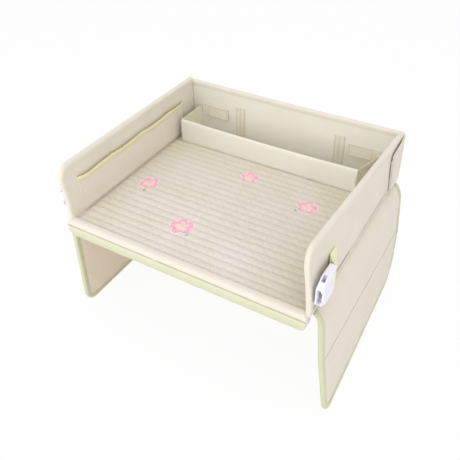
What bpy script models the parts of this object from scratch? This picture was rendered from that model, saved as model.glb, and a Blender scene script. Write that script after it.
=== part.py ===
"""Car seat tray table: fabric-covered boards round a quilted tray, on two fold-under leg panels.

Tray frame: X to the right, Y from the child's side to the back wall, Z up from the tray surface.
The root empty carries that frame, so that the world origin is the middle of the footprint on the
surface that the feet stand on.
"""
import math

import bmesh
import bpy
from mathutils import Matrix, Vector

# Driving sizes, in metres
TRAY_WIDTH = 0.400          # over the outer faces of the side walls
TRAY_DEPTH = 0.352          # front edge of the side walls to the outer face of the back wall
WALL_HEIGHT = 0.090         # top edges above the tray surface
LEG_DROP = 0.202            # tray surface down to the feet
FOLD_DROP = 0.094           # tray surface down to the stitched fold in each leg
LEG_SPLAY = {"left": math.radians(2.0), "right": math.radians(6.0)}

# Build-up of a covered board
BOARD = 0.0030
COVER = 0.0009
GAP = 0.0003                # between neighbours that touch on the real tray
BINDING = 0.0007            # folded tape over a face
BINDING_EDGE = 0.0016       # folded tape and seam beyond a panel's edge
BINDING_WIDTH = 0.0075      # tape on each face
PANEL_HALF = BOARD / 2 + GAP + COVER
EDGE_HALF = PANEL_HALF + GAP + BINDING
EDGE_MARGIN = GAP + BINDING_EDGE
OVERRUN = 0.004             # how far a cutter runs past what it cuts
WELD = 0.000001
ARC_STEPS = 6

# Tray base
QUILT_BACK = 0.006          # padding under the tray surface
QUILT_PUFF = 0.0016         # crown of a channel above its stitch lines
QUILT_CHANNELS = 20
QUILT_CHANNEL_STEPS = 3
QUILT_END_DRAW = 0.0012     # how far the quilt is drawn down along its two sides
QUILT_SIDE_SHARE = 0.06     # part of the half width over which it is drawn down
CROWN_POWER = 0.7           # below one, a channel's crown is flatter than a sine
UNDERSIDE_INSET = 0.0090    # leaves room for the folded legs' soft bend

# Front lip
LIP_FRONT = 0.006           # in front of the walls' front edges
LIP_BACK = 0.009            # behind the walls' front edges
LIP_TOP = 0.004
LIP_BOTTOM = 0.025
LIP_ROUND = 0.0055
LIP_END_ROUND = 0.012
LIP_SIDE_INSET = 0.002
LIP_BINDING_TOP = 0.005     # below the tray surface, on the front face
LIP_BINDING_BACK = 0.014    # below the tray surface, on the back face

# Walls
WALL_FOOT = 0.0005
WALL_CORNER = 0.022
BACK_CORNER = 0.005

# Mesh pocket on each side wall
POCKET_FRONT = 0.030
POCKET_REAR = 0.306
POCKET_FOOT = 0.004
POCKET_TOP = 0.0625
POCKET_STANDOFF = 0.0058
POCKET_MESH = 0.0008
ELASTIC_HEIGHT = 0.0095
ELASTIC = 0.0014

# Corner flaps and their hook-and-loop patches
FLAP = 0.0012
PATCH = 0.0008
FLAP_FOOT = 0.005
FLAP_HEAD = 0.083
FLAP_KNEE_HEIGHT = 0.074
FLAP_TOP_REACH = 0.014      # forward of its hinge, along the top
FLAP_KNEE_REACH = 0.055
FLAP_FOOT_REACH = 0.046
FLAP_HINGE_INSET = 0.0027   # hinge line in front of the back wall's outer face
PATCH_FRONT_REACH = 0.044
PATCH_REAR_REACH = 0.016
PATCH_FOOT = 0.012
PATCH_HEAD = 0.066

# Organiser trough
TROUGH_DEPTH = 0.069        # front panel's middle to the back wall's outer face
TROUGH_HEIGHT = 0.0435
TROUGH_LEFT = 0.0209        # front panel's left end, inside the tray's left side
TROUGH_RIGHT = 0.0473       # front panel's right end, inside the tray's right side
TROUGH_LEFT_REAR = 0.0235   # where the left end panel meets the back wall
TROUGH_RIGHT_REAR = 0.0290
TROUGH_FLOOR_DROP = 0.0003
TAB_LENGTH = 0.056
TAB_THICKNESS = 0.0012
TAB_FOOT = 0.026
TAB_HEAD = 0.048
STRIP_WIDTH = 0.019
STRIP_FOOT = 0.003
STRIP_HEAD = 0.058
LEFT_STRIP = 0.097          # strips' outer edges, inside the tray's sides
RIGHT_STRIP = 0.093

# Leg panels
LEG_HINGE_INSET = 0.00315   # hinge line inside the outer face of the wall above it
LEG_HINGE_DROP = 0.0025
LEG_OFFSET = 0.013          # straight part of a leg outboard of its hinge line
LEG_BEND_DROP = 0.026       # length of the soft bend below the hinge line
LEG_BEND_STEPS = 8
BEND_SHARES = (0.75, 0.45)  # how far the bend keeps its first and its last direction
LEG_TAIL = 0.0021           # seam behind the hinge line
HINGE_HALF = COVER + GAP / 2
LEG_FRONT = 0.0103
LEG_REAR_INSET = 0.004
LEG_CORNER = 0.045
LEG_BINDING_START = 0.0048  # clear of the quilt with the leg folded under
BEND_BOARD_GAP = 0.002
FOOT_BITE = 0.0001          # how far the feet run past the floor plane before they are cut flat
FOLD_PIN = 0.0002           # fold line inboard of the tape on the inner face

# Webbing and buckle halves
WEBBING = 0.0012
WEBBING_WIDTH = 0.038
WEBBING_REAR = 0.066
WEBBING_RISE_START = 0.057
LOOP_SHANK = 0.0034
BUCKLE_LENGTH = 0.048
BUCKLE_THICKNESS = 0.011
BUCKLE_REAR_HALF = 0.0235
BUCKLE_MID_HALF = 0.0250
BUCKLE_FRONT_HALF = 0.0165
BUCKLE_NOSE_HALF = 0.0142
BUCKLE_FRONT = 0.001
BUCKLE_HEIGHT = 0.038       # middle of the buckle above the tray surface
BUCKLE_ROUND = 0.0018
BUCKLE_BAR = 0.0044
BUCKLE_SLOT = 0.0034
BUCKLE_SLOT_HALF = 0.0197
SOCKET_LAND = 0.004         # solid web between the socket and the keyhole
SOCKET_HALF_WIDTH = 0.0125
SOCKET_TAPER = 0.0005
SOCKET_THICKNESS = 0.0052
WINDOW_LANDS = (0.010, 0.004)   # socket left whole in front of the prong windows and behind them
KEYHOLE = 0.0050
KEYHOLE_HALF_WIDTH = 0.0016
KEYHOLE_LAND = 0.0032       # between the keyhole and the webbing slot

# Places worked out from the sizes above
HALF_WIDTH = TRAY_WIDTH / 2
WALL_MIDDLE = HALF_WIDTH - PANEL_HALF
WALL_INNER = HALF_WIDTH - 2 * PANEL_HALF
QUILT_HALF = WALL_INNER - GAP
UNDERSIDE_HALF = QUILT_HALF - UNDERSIDE_INSET
BACK_MIDDLE = TRAY_DEPTH - PANEL_HALF
BACK_INNER = TRAY_DEPTH - 2 * PANEL_HALF
BASE_REAR = BACK_INNER - GAP
WALL_REAR = BACK_MIDDLE - EDGE_HALF - GAP
BASE_FRONT = LIP_BACK + GAP
WALL_TAPE_FRONT = 0
WALL_PANEL_FRONT = WALL_TAPE_FRONT + EDGE_MARGIN
WALL_PANEL_TOP = WALL_HEIGHT - EDGE_MARGIN
WALL_HINGE_X = HALF_WIDTH + GAP
PATCH_IN = HALF_WIDTH + GAP
HOOK_IN = PATCH_IN + PATCH + GAP
FLAP_IN = HOOK_IN + PATCH + GAP
FLAP_HINGE_X = FLAP_IN + FLAP / 2
BACK_HALF = FLAP_IN - GAP
FLAP_HINGE_Y = TRAY_DEPTH - FLAP_HINGE_INSET
TROUGH_MIDDLE = TRAY_DEPTH - TROUGH_DEPTH
TROUGH_HINGE_Y = TROUGH_MIDDLE + PANEL_HALF
LEG_HINGE_X = HALF_WIDTH - LEG_HINGE_INSET
LEG_REAR = TRAY_DEPTH - LEG_REAR_INSET
LEG_PANEL_FRONT = LEG_FRONT + EDGE_MARGIN
LEG_PANEL_REAR = LEG_REAR - EDGE_MARGIN
HINGE_ABOVE_FLOOR = LEG_DROP - LEG_HINGE_DROP
TAPE_FRONT = LIP_FRONT + GAP + BINDING
TAPE_REAR = TRAY_DEPTH - PANEL_HALF + EDGE_HALF


def leg_length(side):
    """Hinge line to the end of the foot tape, along the splayed leg."""
    splay = LEG_SPLAY[side]
    outer_corner_rise = (LEG_OFFSET + EDGE_HALF) * math.sin(splay)
    return (HINGE_ABOVE_FLOOR + outer_corner_rise + FOOT_BITE) / math.cos(splay)


def foot_reach(side):
    """How far the foot's outer edge stands from the tray's middle, at the floor."""
    splay = LEG_SPLAY[side]
    outboard = LEG_OFFSET + EDGE_HALF
    along = (HINGE_ABOVE_FLOOR + outboard * math.sin(splay)) / math.cos(splay)
    return LEG_HINGE_X + outboard * math.cos(splay) + along * math.sin(splay)


def fold_depth(side):
    """Hinge line to the stitched fold, along the splayed leg."""
    splay = LEG_SPLAY[side]
    return (FOLD_DROP - LEG_HINGE_DROP + LEG_OFFSET * math.sin(splay)) / math.cos(splay)


MIDDLE_X = (foot_reach("right") - foot_reach("left")) / 2
MIDDLE_Y = (TAPE_REAR - TAPE_FRONT) / 2

SIDES = {"left": -1, "right": 1}
MIRROR_X = Matrix.Diagonal((-1, 1, 1, 1))
# A flat outline's own X, Y and normal, turned onto two tray axes and the third
PLANES = {
    "XY": Matrix(((1, 0, 0, 0), (0, 1, 0, 0), (0, 0, 1, 0), (0, 0, 0, 1))),
    "XZ": Matrix(((1, 0, 0, 0), (0, 0, 1, 0), (0, 1, 0, 0), (0, 0, 0, 1))),
    "YZ": Matrix(((0, 0, 1, 0), (1, 0, 0, 0), (0, 1, 0, 0), (0, 0, 0, 1))),
}

COLOURS = {
    "cream_fabric": ((0.80, 0.75, 0.64), 0.85),
    "beige_lining": ((0.66, 0.56, 0.43), 0.90),
    "quilt_fabric": ((0.81, 0.75, 0.66), 0.90),
    "lip_fabric": ((0.86, 0.81, 0.74), 0.85),
    "cream_tape": ((0.84, 0.80, 0.71), 0.80),
    "green_tape": ((0.72, 0.77, 0.50), 0.80),
    "pale_elastic": ((0.83, 0.77, 0.45), 0.80),
    "mesh_fabric": ((0.74, 0.66, 0.53), 0.90),
    "panel_board": ((0.85, 0.85, 0.83), 0.50),
    "hook_tape": ((0.84, 0.79, 0.86), 0.80),
    "white_plastic": ((0.85, 0.84, 0.90), 0.35),
}


def start_clean():
    for old in list(bpy.data.objects):
        bpy.data.objects.remove(old)


def make_material(name):
    colour, roughness = COLOURS[name]
    made = bpy.data.materials.new(name)
    made.use_nodes = True
    shader = made.node_tree.nodes["Principled BSDF"]
    shader.inputs["Base Color"].default_value = (*colour, 1)
    shader.inputs["Roughness"].default_value = roughness
    shader.inputs["Metallic"].default_value = 0
    return made


def make_collection(name):
    made = bpy.data.collections.new(name)
    bpy.context.scene.collection.children.link(made)
    return made


def make_empty(name, location, parent=None, turn_y=0):
    empty = bpy.data.objects.new(name, None)
    empty.location = location
    empty.rotation_euler = (0, turn_y, 0)
    empty.parent = parent
    parts.objects.link(empty)
    return empty


def clean_mesh(mesh):
    shape = bmesh.new()
    shape.from_mesh(mesh)
    bmesh.ops.remove_doubles(shape, verts=shape.verts, dist=WELD)
    bmesh.ops.recalc_face_normals(shape, faces=shape.faces)
    shape.to_mesh(mesh)
    shape.free()
    return mesh


def flat_curve(points, closed):
    """A flat curve through the points, not yet a mesh."""
    curve = bpy.data.curves.new("flat", "CURVE")
    curve.dimensions = "2D"
    spline = curve.splines.new("POLY")
    spline.points.add(len(points) - 1)
    for point, (across, up) in zip(spline.points, points):
        point.co = (across, up, 0, 1)
    spline.use_cyclic_u = closed
    holder = bpy.data.objects.new("flat", curve)
    bpy.context.scene.collection.objects.link(holder)
    return holder


def taken_mesh(holder):
    """The mesh that a curve makes; the curve is removed."""
    bpy.context.view_layer.update()
    evaluated = holder.evaluated_get(bpy.context.evaluated_depsgraph_get())
    mesh = bpy.data.meshes.new_from_object(evaluated)
    remove_curve(holder)
    return mesh


def remove_curve(holder):
    curve = holder.data
    bpy.data.objects.remove(holder)
    bpy.data.curves.remove(curve)


def outline_mesh(outline, low, high, plane):
    """A flat outline, filled and extruded from low to high along the plane's normal."""
    flat = flat_curve(outline, True)
    flat.data.fill_mode = "BOTH"
    flat.data.extrude = (high - low) / 2
    mesh = taken_mesh(flat)
    mesh.transform(Matrix.Translation((0, 0, (low + high) / 2)))
    mesh.transform(PLANES[plane])
    return clean_mesh(mesh)


def add_node(name, mesh, material, parent, side=1):
    """Link a mesh under its joint's empty, mirrored for the left side."""
    if side < 0:
        mesh.transform(MIRROR_X)
        mesh.flip_normals()
    mesh.name = name
    mesh.materials.clear()
    mesh.materials.append(materials[material])
    node = bpy.data.objects.new(name, mesh)
    node.parent = parent
    parts.objects.link(node)
    return node


def cut(node, mesh, name, side=1, operation="DIFFERENCE", parent=None):
    """Take a cutter's shape out of a node, or keep only what lies inside it."""
    if side < 0:
        mesh.transform(MIRROR_X)
        mesh.flip_normals()
    cutter = bpy.data.objects.new(name, mesh)
    cutter.parent = parent or node.parent
    cutter.display_type = "WIRE"
    cutter.hide_render = True
    cutters.objects.link(cutter)
    boolean = node.modifiers.new(name, "BOOLEAN")
    boolean.operation = operation
    boolean.object = cutter


def box(x_range, y_range, z_range):
    """A box mesh from its three ranges."""
    shape = bmesh.new()
    bmesh.ops.create_cube(shape, size=1)
    for axis, (low, high) in enumerate((x_range, y_range, z_range)):
        for vertex in shape.verts:
            vertex.co[axis] = high if vertex.co[axis] > 0 else low
    mesh = bpy.data.meshes.new("box")
    shape.to_mesh(mesh)
    shape.free()
    return mesh


def rectangle(left, right, low, high, radii=(0, 0, 0, 0)):
    """Outline with corner radii, from the low left corner on round by the low right one."""
    corners = [(left, low, 1, 1, 180), (right, low, -1, 1, 270),
               (right, high, -1, -1, 0), (left, high, 1, -1, 90)]
    points = []
    for (across, up, in_x, in_y, start), radius in zip(corners, radii):
        if radius <= 0:
            points.append((across, up))
            continue
        centre_x = across + in_x * radius
        centre_y = up + in_y * radius
        for step in range(ARC_STEPS + 1):
            angle = math.radians(start + 90 * step / ARC_STEPS)
            points.append((centre_x + radius * math.cos(angle), centre_y + radius * math.sin(angle)))
    return points


def path_normals(path):
    """Unit normals on the left of a path, averaged at its inner points."""
    normals = []
    for index in range(len(path)):
        before = Vector(path[max(index - 1, 0)])
        after = Vector(path[min(index + 1, len(path) - 1)])
        run = (after - before).normalized()
        normals.append(Vector((-run.y, run.x)))
    return normals


def ribbon(path, near, far):
    """Outline of the band between two offsets of a path; an offset is one value or one a point."""
    count = len(path)
    nears = near if isinstance(near, list) else [near] * count
    fars = far if isinstance(far, list) else [far] * count
    normals = path_normals(path)
    edge = [Vector(point) + normal * offset for point, normal, offset in zip(path, normals, nears)]
    back = [Vector(point) + normal * offset for point, normal, offset in zip(path, normals, fars)]
    return [tuple(point) for point in edge] + [tuple(point) for point in reversed(back)]


def tape(name, material, path, plane, middle, parent, side=1):
    """Folded tape swept along a panel's outer edge, which has the panel on its right."""
    reach = EDGE_MARGIN + BINDING_WIDTH
    slot = EDGE_HALF - BINDING
    profile = flat_curve([(0, -EDGE_HALF), (reach, -EDGE_HALF), (reach, -slot), (BINDING_EDGE, -slot),
                          (BINDING_EDGE, slot), (reach, slot), (reach, EDGE_HALF), (0, EDGE_HALF)], True)
    line = flat_curve(path, False)
    line.data.bevel_mode = "OBJECT"
    line.data.bevel_object = profile
    line.data.use_fill_caps = True
    mesh = taken_mesh(line)
    remove_curve(profile)
    mesh.transform(Matrix.Translation((0, 0, middle)))
    mesh.transform(PLANES[plane])
    return add_node(name, clean_mesh(mesh), material, parent, side)


def arc(centre_x, centre_y, radius, start, end):
    """Points along an arc, its angles in degrees."""
    points = []
    for step in range(ARC_STEPS + 1):
        angle = math.radians(start + (end - start) * step / ARC_STEPS)
        points.append((centre_x + radius * math.cos(angle), centre_y + radius * math.sin(angle)))
    return points


def covered_board(prefix, outline, board_outline, plane, middle, parent, side, linings):
    """A board between an inner and an outer cover; the middle is the board's mid-plane."""
    half = BOARD / 2
    add_node(prefix + "_board", outline_mesh(board_outline, middle - half, middle + half, plane),
             "panel_board", parent, side)
    near = half + GAP
    add_node(prefix + "_inner_cover", outline_mesh(outline, middle - near - COVER, middle - near, plane),
             linings[0], parent, side)
    add_node(prefix + "_outer_cover", outline_mesh(outline, middle + near, middle + near + COVER, plane),
             linings[1], parent, side)


# Base

def quilt_height(x, y):
    """Top of the quilt: a crown in each channel, drawn down along the sides."""
    length = TROUGH_MIDDLE - PANEL_HALF - GAP - BASE_FRONT
    phase = (y - BASE_FRONT) / length * QUILT_CHANNELS
    crown = QUILT_PUFF * abs(math.sin(math.pi * phase)) ** CROWN_POWER
    from_side = min(1, (QUILT_HALF - abs(x)) / (QUILT_HALF * QUILT_SIDE_SHARE))
    edge = math.sin(from_side * math.pi / 2)
    return crown * edge - QUILT_END_DRAW * (1 - edge)


def build_quilt():
    """Quilted mat: a subdivided slab whose top follows the sewn channels."""
    rear = TROUGH_MIDDLE - PANEL_HALF - GAP
    side_shares = (0, 0.012, 0.035, 0.5, 0.965, 0.988, 1)
    rows = QUILT_CHANNELS * QUILT_CHANNEL_STEPS
    columns = len(side_shares) - 1
    shape = bmesh.new()
    bmesh.ops.create_grid(shape, x_segments=columns, y_segments=rows, size=1)
    for vertex in shape.verts:
        column = round((vertex.co.x + 1) / 2 * columns)
        x = QUILT_HALF * (2 * side_shares[column] - 1)
        y = BASE_FRONT + (vertex.co.y + 1) / 2 * (rear - BASE_FRONT)
        vertex.co = (x, y, quilt_height(x, y))
    top = list(shape.faces)
    pushed = bmesh.ops.extrude_face_region(shape, geom=top)
    for item in pushed["geom"]:
        if isinstance(item, bmesh.types.BMVert):
            item.co.z = -QUILT_BACK
    bmesh.ops.recalc_face_normals(shape, faces=shape.faces)
    mesh = bpy.data.meshes.new("tray_quilt")
    shape.to_mesh(mesh)
    shape.free()
    return add_node("tray_quilt", mesh, "quilt_fabric", root)


def build_base():
    board_top = -QUILT_BACK - GAP
    cover_top = board_top - BOARD - GAP
    across = (-UNDERSIDE_HALF, UNDERSIDE_HALF)
    add_node("base_board", box(across, (BASE_FRONT, BASE_REAR), (board_top - BOARD, board_top)),
             "panel_board", root)
    add_node("base_underside_cover",
             box(across, (BASE_FRONT, BASE_REAR), (cover_top - COVER, cover_top)),
             "beige_lining", root)
    build_quilt()
    floor_across = (-QUILT_HALF, QUILT_HALF)
    floor_front = TROUGH_MIDDLE - PANEL_HALF
    add_node("trough_floor_pad",
             box(floor_across, (floor_front, BASE_REAR), (-QUILT_BACK, -TROUGH_FLOOR_DROP)),
             "cream_fabric", root)


def lip_tape_path():
    """Middle of the lip's tape: down the front, under the pad and up its back."""
    ring = rectangle(-LIP_FRONT, LIP_BACK, -LIP_BOTTOM, LIP_TOP, (LIP_ROUND,) * 4)
    corner = ARC_STEPS + 1
    bottom = ring[:2 * corner]
    return [(-LIP_FRONT, -LIP_BINDING_TOP)] + bottom + [(LIP_BACK, -LIP_BINDING_BACK)]


def build_lip():
    """Padded front lip between and under the walls' front feet, with its sewn-on tape."""
    half = HALF_WIDTH - LIP_SIDE_INSET
    profile = rectangle(-LIP_FRONT, LIP_BACK, -LIP_BOTTOM, LIP_TOP, (LIP_ROUND,) * 4)
    pad = add_node("front_lip_pad", outline_mesh(profile, -half, half, "YZ"), "lip_fabric", root)
    band = ribbon(lip_tape_path(), -GAP - BINDING, -GAP)
    binding = add_node("front_lip_binding", outline_mesh(band, -half, half, "YZ"), "green_tape", root)
    rounds = (LIP_END_ROUND, LIP_END_ROUND, LIP_ROUND, LIP_ROUND)
    below = LIP_BOTTOM + GAP + BINDING
    for node in (pad, binding):
        end_outline = rectangle(-half, half, -below, LIP_TOP, rounds)
        cut(node, outline_mesh(end_outline, -LIP_FRONT - OVERRUN, LIP_BACK + OVERRUN, "XZ"),
            node.name + "_rounded_ends", operation="INTERSECT")
    notch_in = WALL_MIDDLE - EDGE_HALF - GAP
    for side, sign in SIDES.items():
        notch = box((notch_in, HALF_WIDTH + OVERRUN), (-GAP, LIP_BACK + OVERRUN),
                    (-GAP, LIP_TOP + OVERRUN))
        cut(pad, notch, side + "_wall_notch", sign)


# Walls

def build_side_wall(side):
    sign = SIDES[side]
    hinge = make_empty(side + "_wall_hinge", (sign * WALL_HINGE_X, 0, 0), root)
    middle = WALL_MIDDLE - WALL_HINGE_X
    radii = (0, 0, 0, WALL_CORNER)
    outline = rectangle(WALL_PANEL_FRONT, WALL_REAR, WALL_FOOT, WALL_PANEL_TOP, radii)
    board_outline = rectangle(WALL_PANEL_FRONT + COVER, WALL_REAR - COVER, WALL_FOOT + COVER,
                              WALL_PANEL_TOP - COVER, radii)
    covered_board(side + "_wall", outline, board_outline, "YZ", middle, hinge, sign,
                  ("cream_fabric", "cream_fabric"))
    grown = WALL_CORNER + EDGE_MARGIN
    corner = arc(WALL_TAPE_FRONT + grown, WALL_HEIGHT - grown, grown, 180, 90)
    edge = [(WALL_TAPE_FRONT, WALL_FOOT)] + corner + [(WALL_REAR, WALL_HEIGHT)]
    tape(side + "_wall_edge_tape", "cream_tape", edge, "YZ", middle, hinge, sign)
    build_pocket(side, hinge)
    patch_x = (PATCH_IN - WALL_HINGE_X, PATCH_IN + PATCH - WALL_HINGE_X)
    patch_y = (FLAP_HINGE_Y - PATCH_FRONT_REACH, FLAP_HINGE_Y - PATCH_REAR_REACH)
    add_node(side + "_wall_loop_patch", box(patch_x, patch_y, (PATCH_FOOT, PATCH_HEAD)),
             "hook_tape", hinge, sign)
    build_webbing(side, hinge)
    return hinge


def build_pocket(side, hinge):
    """Mesh pocket: a shallow pan of net on the wall's inner face, with its elastic rim."""
    sign = SIDES[side]
    face = WALL_INNER - GAP - WALL_HINGE_X
    out = face - POCKET_STANDOFF
    rim_foot = POCKET_TOP - ELASTIC_HEIGHT
    net = add_node(side + "_pocket_net",
                   box((out, face), (POCKET_FRONT, POCKET_REAR), (POCKET_FOOT, rim_foot - GAP)),
                   "mesh_fabric", hinge, sign)
    inside = (POCKET_FRONT + POCKET_MESH, POCKET_REAR - POCKET_MESH)
    cut(net, box((out + POCKET_MESH, face + OVERRUN), inside, (POCKET_FOOT + POCKET_MESH, POCKET_TOP)),
        side + "_pocket_hollow", sign)
    rim = add_node(side + "_pocket_elastic",
                   box((out, face), (POCKET_FRONT, POCKET_REAR), (rim_foot, POCKET_TOP)),
                   "pale_elastic", hinge, sign)
    inside = (POCKET_FRONT + ELASTIC, POCKET_REAR - ELASTIC)
    cut(rim, box((out + ELASTIC, face + OVERRUN), inside,
                 (rim_foot - OVERRUN, POCKET_TOP + OVERRUN)),
        side + "_elastic_hollow", sign)


def build_back_wall():
    hinge = make_empty("back_wall_hinge", (0, TRAY_DEPTH, 0), root)
    middle = -PANEL_HALF
    radii = (0, 0, BACK_CORNER, BACK_CORNER)
    outline = rectangle(-BACK_HALF, BACK_HALF, WALL_FOOT, WALL_PANEL_TOP, radii)
    board_outline = rectangle(-BACK_HALF + COVER, BACK_HALF - COVER, WALL_FOOT + COVER,
                              WALL_PANEL_TOP - COVER, radii)
    covered_board("back_wall", outline, board_outline, "XZ", middle, hinge, 1,
                  ("cream_fabric", "cream_fabric"))
    edge = [(-BACK_HALF, WALL_HEIGHT), (BACK_HALF, WALL_HEIGHT)]
    tape("back_wall_edge_tape", "cream_tape", edge, "XZ", middle, hinge)
    strip_y = (BACK_INNER - GAP - PATCH - TRAY_DEPTH, BACK_INNER - GAP - TRAY_DEPTH)
    left_strip = -HALF_WIDTH + LEFT_STRIP
    right_strip = HALF_WIDTH - RIGHT_STRIP
    strip_z = (STRIP_FOOT, STRIP_HEAD)
    add_node("left_loop_strip", box((left_strip, left_strip + STRIP_WIDTH), strip_y, strip_z),
             "cream_tape", hinge)
    add_node("right_loop_strip", box((right_strip - STRIP_WIDTH, right_strip), strip_y, strip_z),
             "cream_tape", hinge)
    for side in SIDES:
        build_flap(side, hinge)
        build_tab(side, hinge)


def build_flap(side, back_hinge):
    """Corner flap from the back wall over the side wall's outer face, with its hook patch."""
    sign = SIDES[side]
    hinge = make_empty(side + "_flap_hinge",
                       (sign * FLAP_HINGE_X, FLAP_HINGE_Y - TRAY_DEPTH, 0), back_hinge)
    outline = [(0, FLAP_FOOT), (0, FLAP_HEAD), (-FLAP_TOP_REACH, FLAP_HEAD),
               (-FLAP_KNEE_REACH, FLAP_KNEE_HEIGHT), (-FLAP_FOOT_REACH, FLAP_FOOT)]
    add_node(side + "_corner_flap", outline_mesh(outline, -FLAP / 2, FLAP / 2, "YZ"),
             "cream_fabric", hinge, sign)
    hook_x = (HOOK_IN - FLAP_HINGE_X, HOOK_IN + PATCH - FLAP_HINGE_X)
    add_node(side + "_flap_hook_patch",
             box(hook_x, (-PATCH_FRONT_REACH, -PATCH_REAR_REACH), (PATCH_FOOT, PATCH_HEAD)),
             "hook_tape", hinge, sign)


def build_tab(side, back_hinge):
    """Fastening tab of the trough's end, along the back wall's inner face."""
    sign = SIDES[side]
    inset = TROUGH_LEFT_REAR if side == "left" else TROUGH_RIGHT_REAR
    start = HALF_WIDTH - inset - COVER - 2 * GAP
    tab_y = BACK_INNER - GAP - TAB_THICKNESS / 2 - TRAY_DEPTH
    hinge = make_empty(side + "_tab_hinge", (sign * start, tab_y, 0), back_hinge)
    half = TAB_THICKNESS / 2
    add_node(side + "_trough_tab", box((-TAB_LENGTH, -half), (-half, half), (TAB_FOOT, TAB_HEAD)),
             "cream_tape", hinge, sign)


# Trough

def build_trough():
    hinge = make_empty("trough_hinge", (0, TROUGH_HINGE_Y, 0), root)
    left = -HALF_WIDTH + TROUGH_LEFT
    right = HALF_WIDTH - TROUGH_RIGHT
    half = BOARD / 2
    inner = half + GAP
    outer = inner + COVER
    sheath = [(-outer, 0), (-outer, TROUGH_HEIGHT), (outer, TROUGH_HEIGHT), (outer, 0),
              (inner, 0), (inner, TROUGH_HEIGHT - COVER), (-inner, TROUGH_HEIGHT - COVER), (-inner, 0)]
    sheath = [(y - PANEL_HALF, z) for y, z in sheath]
    add_node("trough_front_cover", outline_mesh(sheath, left, right, "YZ"), "cream_fabric", hinge)
    board_y = (-PANEL_HALF - half, -PANEL_HALF + half)
    board_z = (0, TROUGH_HEIGHT - COVER - GAP)
    add_node("trough_front_board", box((left + COVER, right - COVER), board_y, board_z),
             "panel_board", hinge)
    seam = GAP + COVER / 2
    front = TROUGH_MIDDLE - PANEL_HALF - TROUGH_HINGE_Y
    rear = BASE_REAR - TROUGH_HINGE_Y
    ends = {
        "left": (left - seam, -HALF_WIDTH + TROUGH_LEFT_REAR),
        "right": (right + seam, HALF_WIDTH - TROUGH_RIGHT_REAR),
    }
    for side, (front_x, rear_x) in ends.items():
        path = [(front_x, front), (front_x, GAP), (rear_x, rear)]
        add_node(side + "_trough_end",
                 outline_mesh(ribbon(path, -COVER / 2, COVER / 2), 0, TROUGH_HEIGHT, "XY"),
                 "cream_fabric", hinge)


# Legs

def bend_path():
    """Middle of the soft bend from the hinge line out and down to the straight part."""
    start = Vector((0, 0))
    end = Vector((LEG_OFFSET, -LEG_BEND_DROP))
    first_share, last_share = BEND_SHARES
    out = start + Vector((LEG_OFFSET * first_share, 0))
    down = end + Vector((0, LEG_BEND_DROP * last_share))
    points = [(-LEG_TAIL, 0)]
    for step in range(LEG_BEND_STEPS + 1):
        share = step / LEG_BEND_STEPS
        rest = 1 - share
        point = (start * rest ** 3 + out * 3 * rest ** 2 * share
                 + down * 3 * rest * share ** 2 + end * share ** 3)
        points.append(tuple(point))
    return points


def bend_halves():
    """Half thickness of the covers along the bend: a bare seam first, then room for the board."""
    halves = [HINGE_HALF]
    for step in range(LEG_BEND_STEPS + 1):
        share = max(0, 2 * step / LEG_BEND_STEPS - 1)
        halves.append(HINGE_HALF + (PANEL_HALF - HINGE_HALF) * share)
    return halves


def build_leg(side):
    sign = SIDES[side]
    splay = -sign * LEG_SPLAY[side]
    hinge = make_empty(side + "_leg_hinge", (sign * LEG_HINGE_X, 0, -LEG_HINGE_DROP), root, splay)
    fold = fold_depth(side)
    fold_x = LEG_OFFSET - EDGE_HALF - FOLD_PIN
    lower_hinge = make_empty(side + "_leg_fold", (sign * fold_x, 0, -fold), hinge)
    build_upper_leg(side, hinge, fold)
    build_lower_leg(side, lower_hinge, fold, LEG_OFFSET - fold_x)


def build_upper_leg(side, hinge, fold):
    sign = SIDES[side]
    seam = GAP / 2
    path = bend_path() + [(LEG_OFFSET, -fold + seam)]
    halves = bend_halves() + [PANEL_HALF]
    skins = [half - COVER for half in halves]
    minus_halves = [-half for half in halves]
    minus_skins = [-skin for skin in skins]
    # The path runs outward and down, so its left side is the outer face
    add_node(side + "_leg_upper_outer_cover",
             outline_mesh(ribbon(path, skins, halves), LEG_PANEL_FRONT, LEG_PANEL_REAR, "XZ"),
             "cream_fabric", hinge, sign)
    add_node(side + "_leg_upper_inner_cover",
             outline_mesh(ribbon(path, minus_halves, minus_skins), LEG_PANEL_FRONT, LEG_PANEL_REAR, "XZ"),
             "beige_lining", hinge, sign)
    board_x = (LEG_OFFSET - BOARD / 2, LEG_OFFSET + BOARD / 2)
    board_y = (LEG_PANEL_FRONT + COVER, LEG_PANEL_REAR - COVER)
    add_node(side + "_leg_upper_board",
             box(board_x, board_y, (-fold + COVER, -LEG_BEND_DROP - BEND_BOARD_GAP)),
             "panel_board", hinge, sign)
    tape_path = path[2:]
    tape_path[0] = (LEG_BINDING_START, path[2][1])
    tape_halves = [half + GAP + BINDING for half in halves[2:]]
    slot_path = path[:-1] + [(LEG_OFFSET, -fold - OVERRUN)]
    slot_halves = [half + GAP for half in halves]
    ends = {"front": (LEG_FRONT, LEG_PANEL_FRONT + BINDING_WIDTH, LEG_PANEL_FRONT - GAP, 1),
            "rear": (LEG_PANEL_REAR - BINDING_WIDTH, LEG_REAR, LEG_PANEL_REAR + GAP, -1)}
    for end, (low, high, slot_end, inward) in ends.items():
        name = side + "_leg_upper_" + end + "_tape"
        body = ribbon(tape_path, [-half for half in tape_halves], tape_halves)
        node = add_node(name, outline_mesh(body, low, high, "XZ"), "green_tape", hinge, sign)
        slot = ribbon(slot_path, [-half for half in slot_halves], slot_halves)
        slot_low, slot_high = sorted((slot_end, slot_end + inward * (BINDING_WIDTH + 2 * OVERRUN)))
        cut(node, outline_mesh(slot, slot_low, slot_high, "XZ"), name + "_slot", sign)


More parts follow.
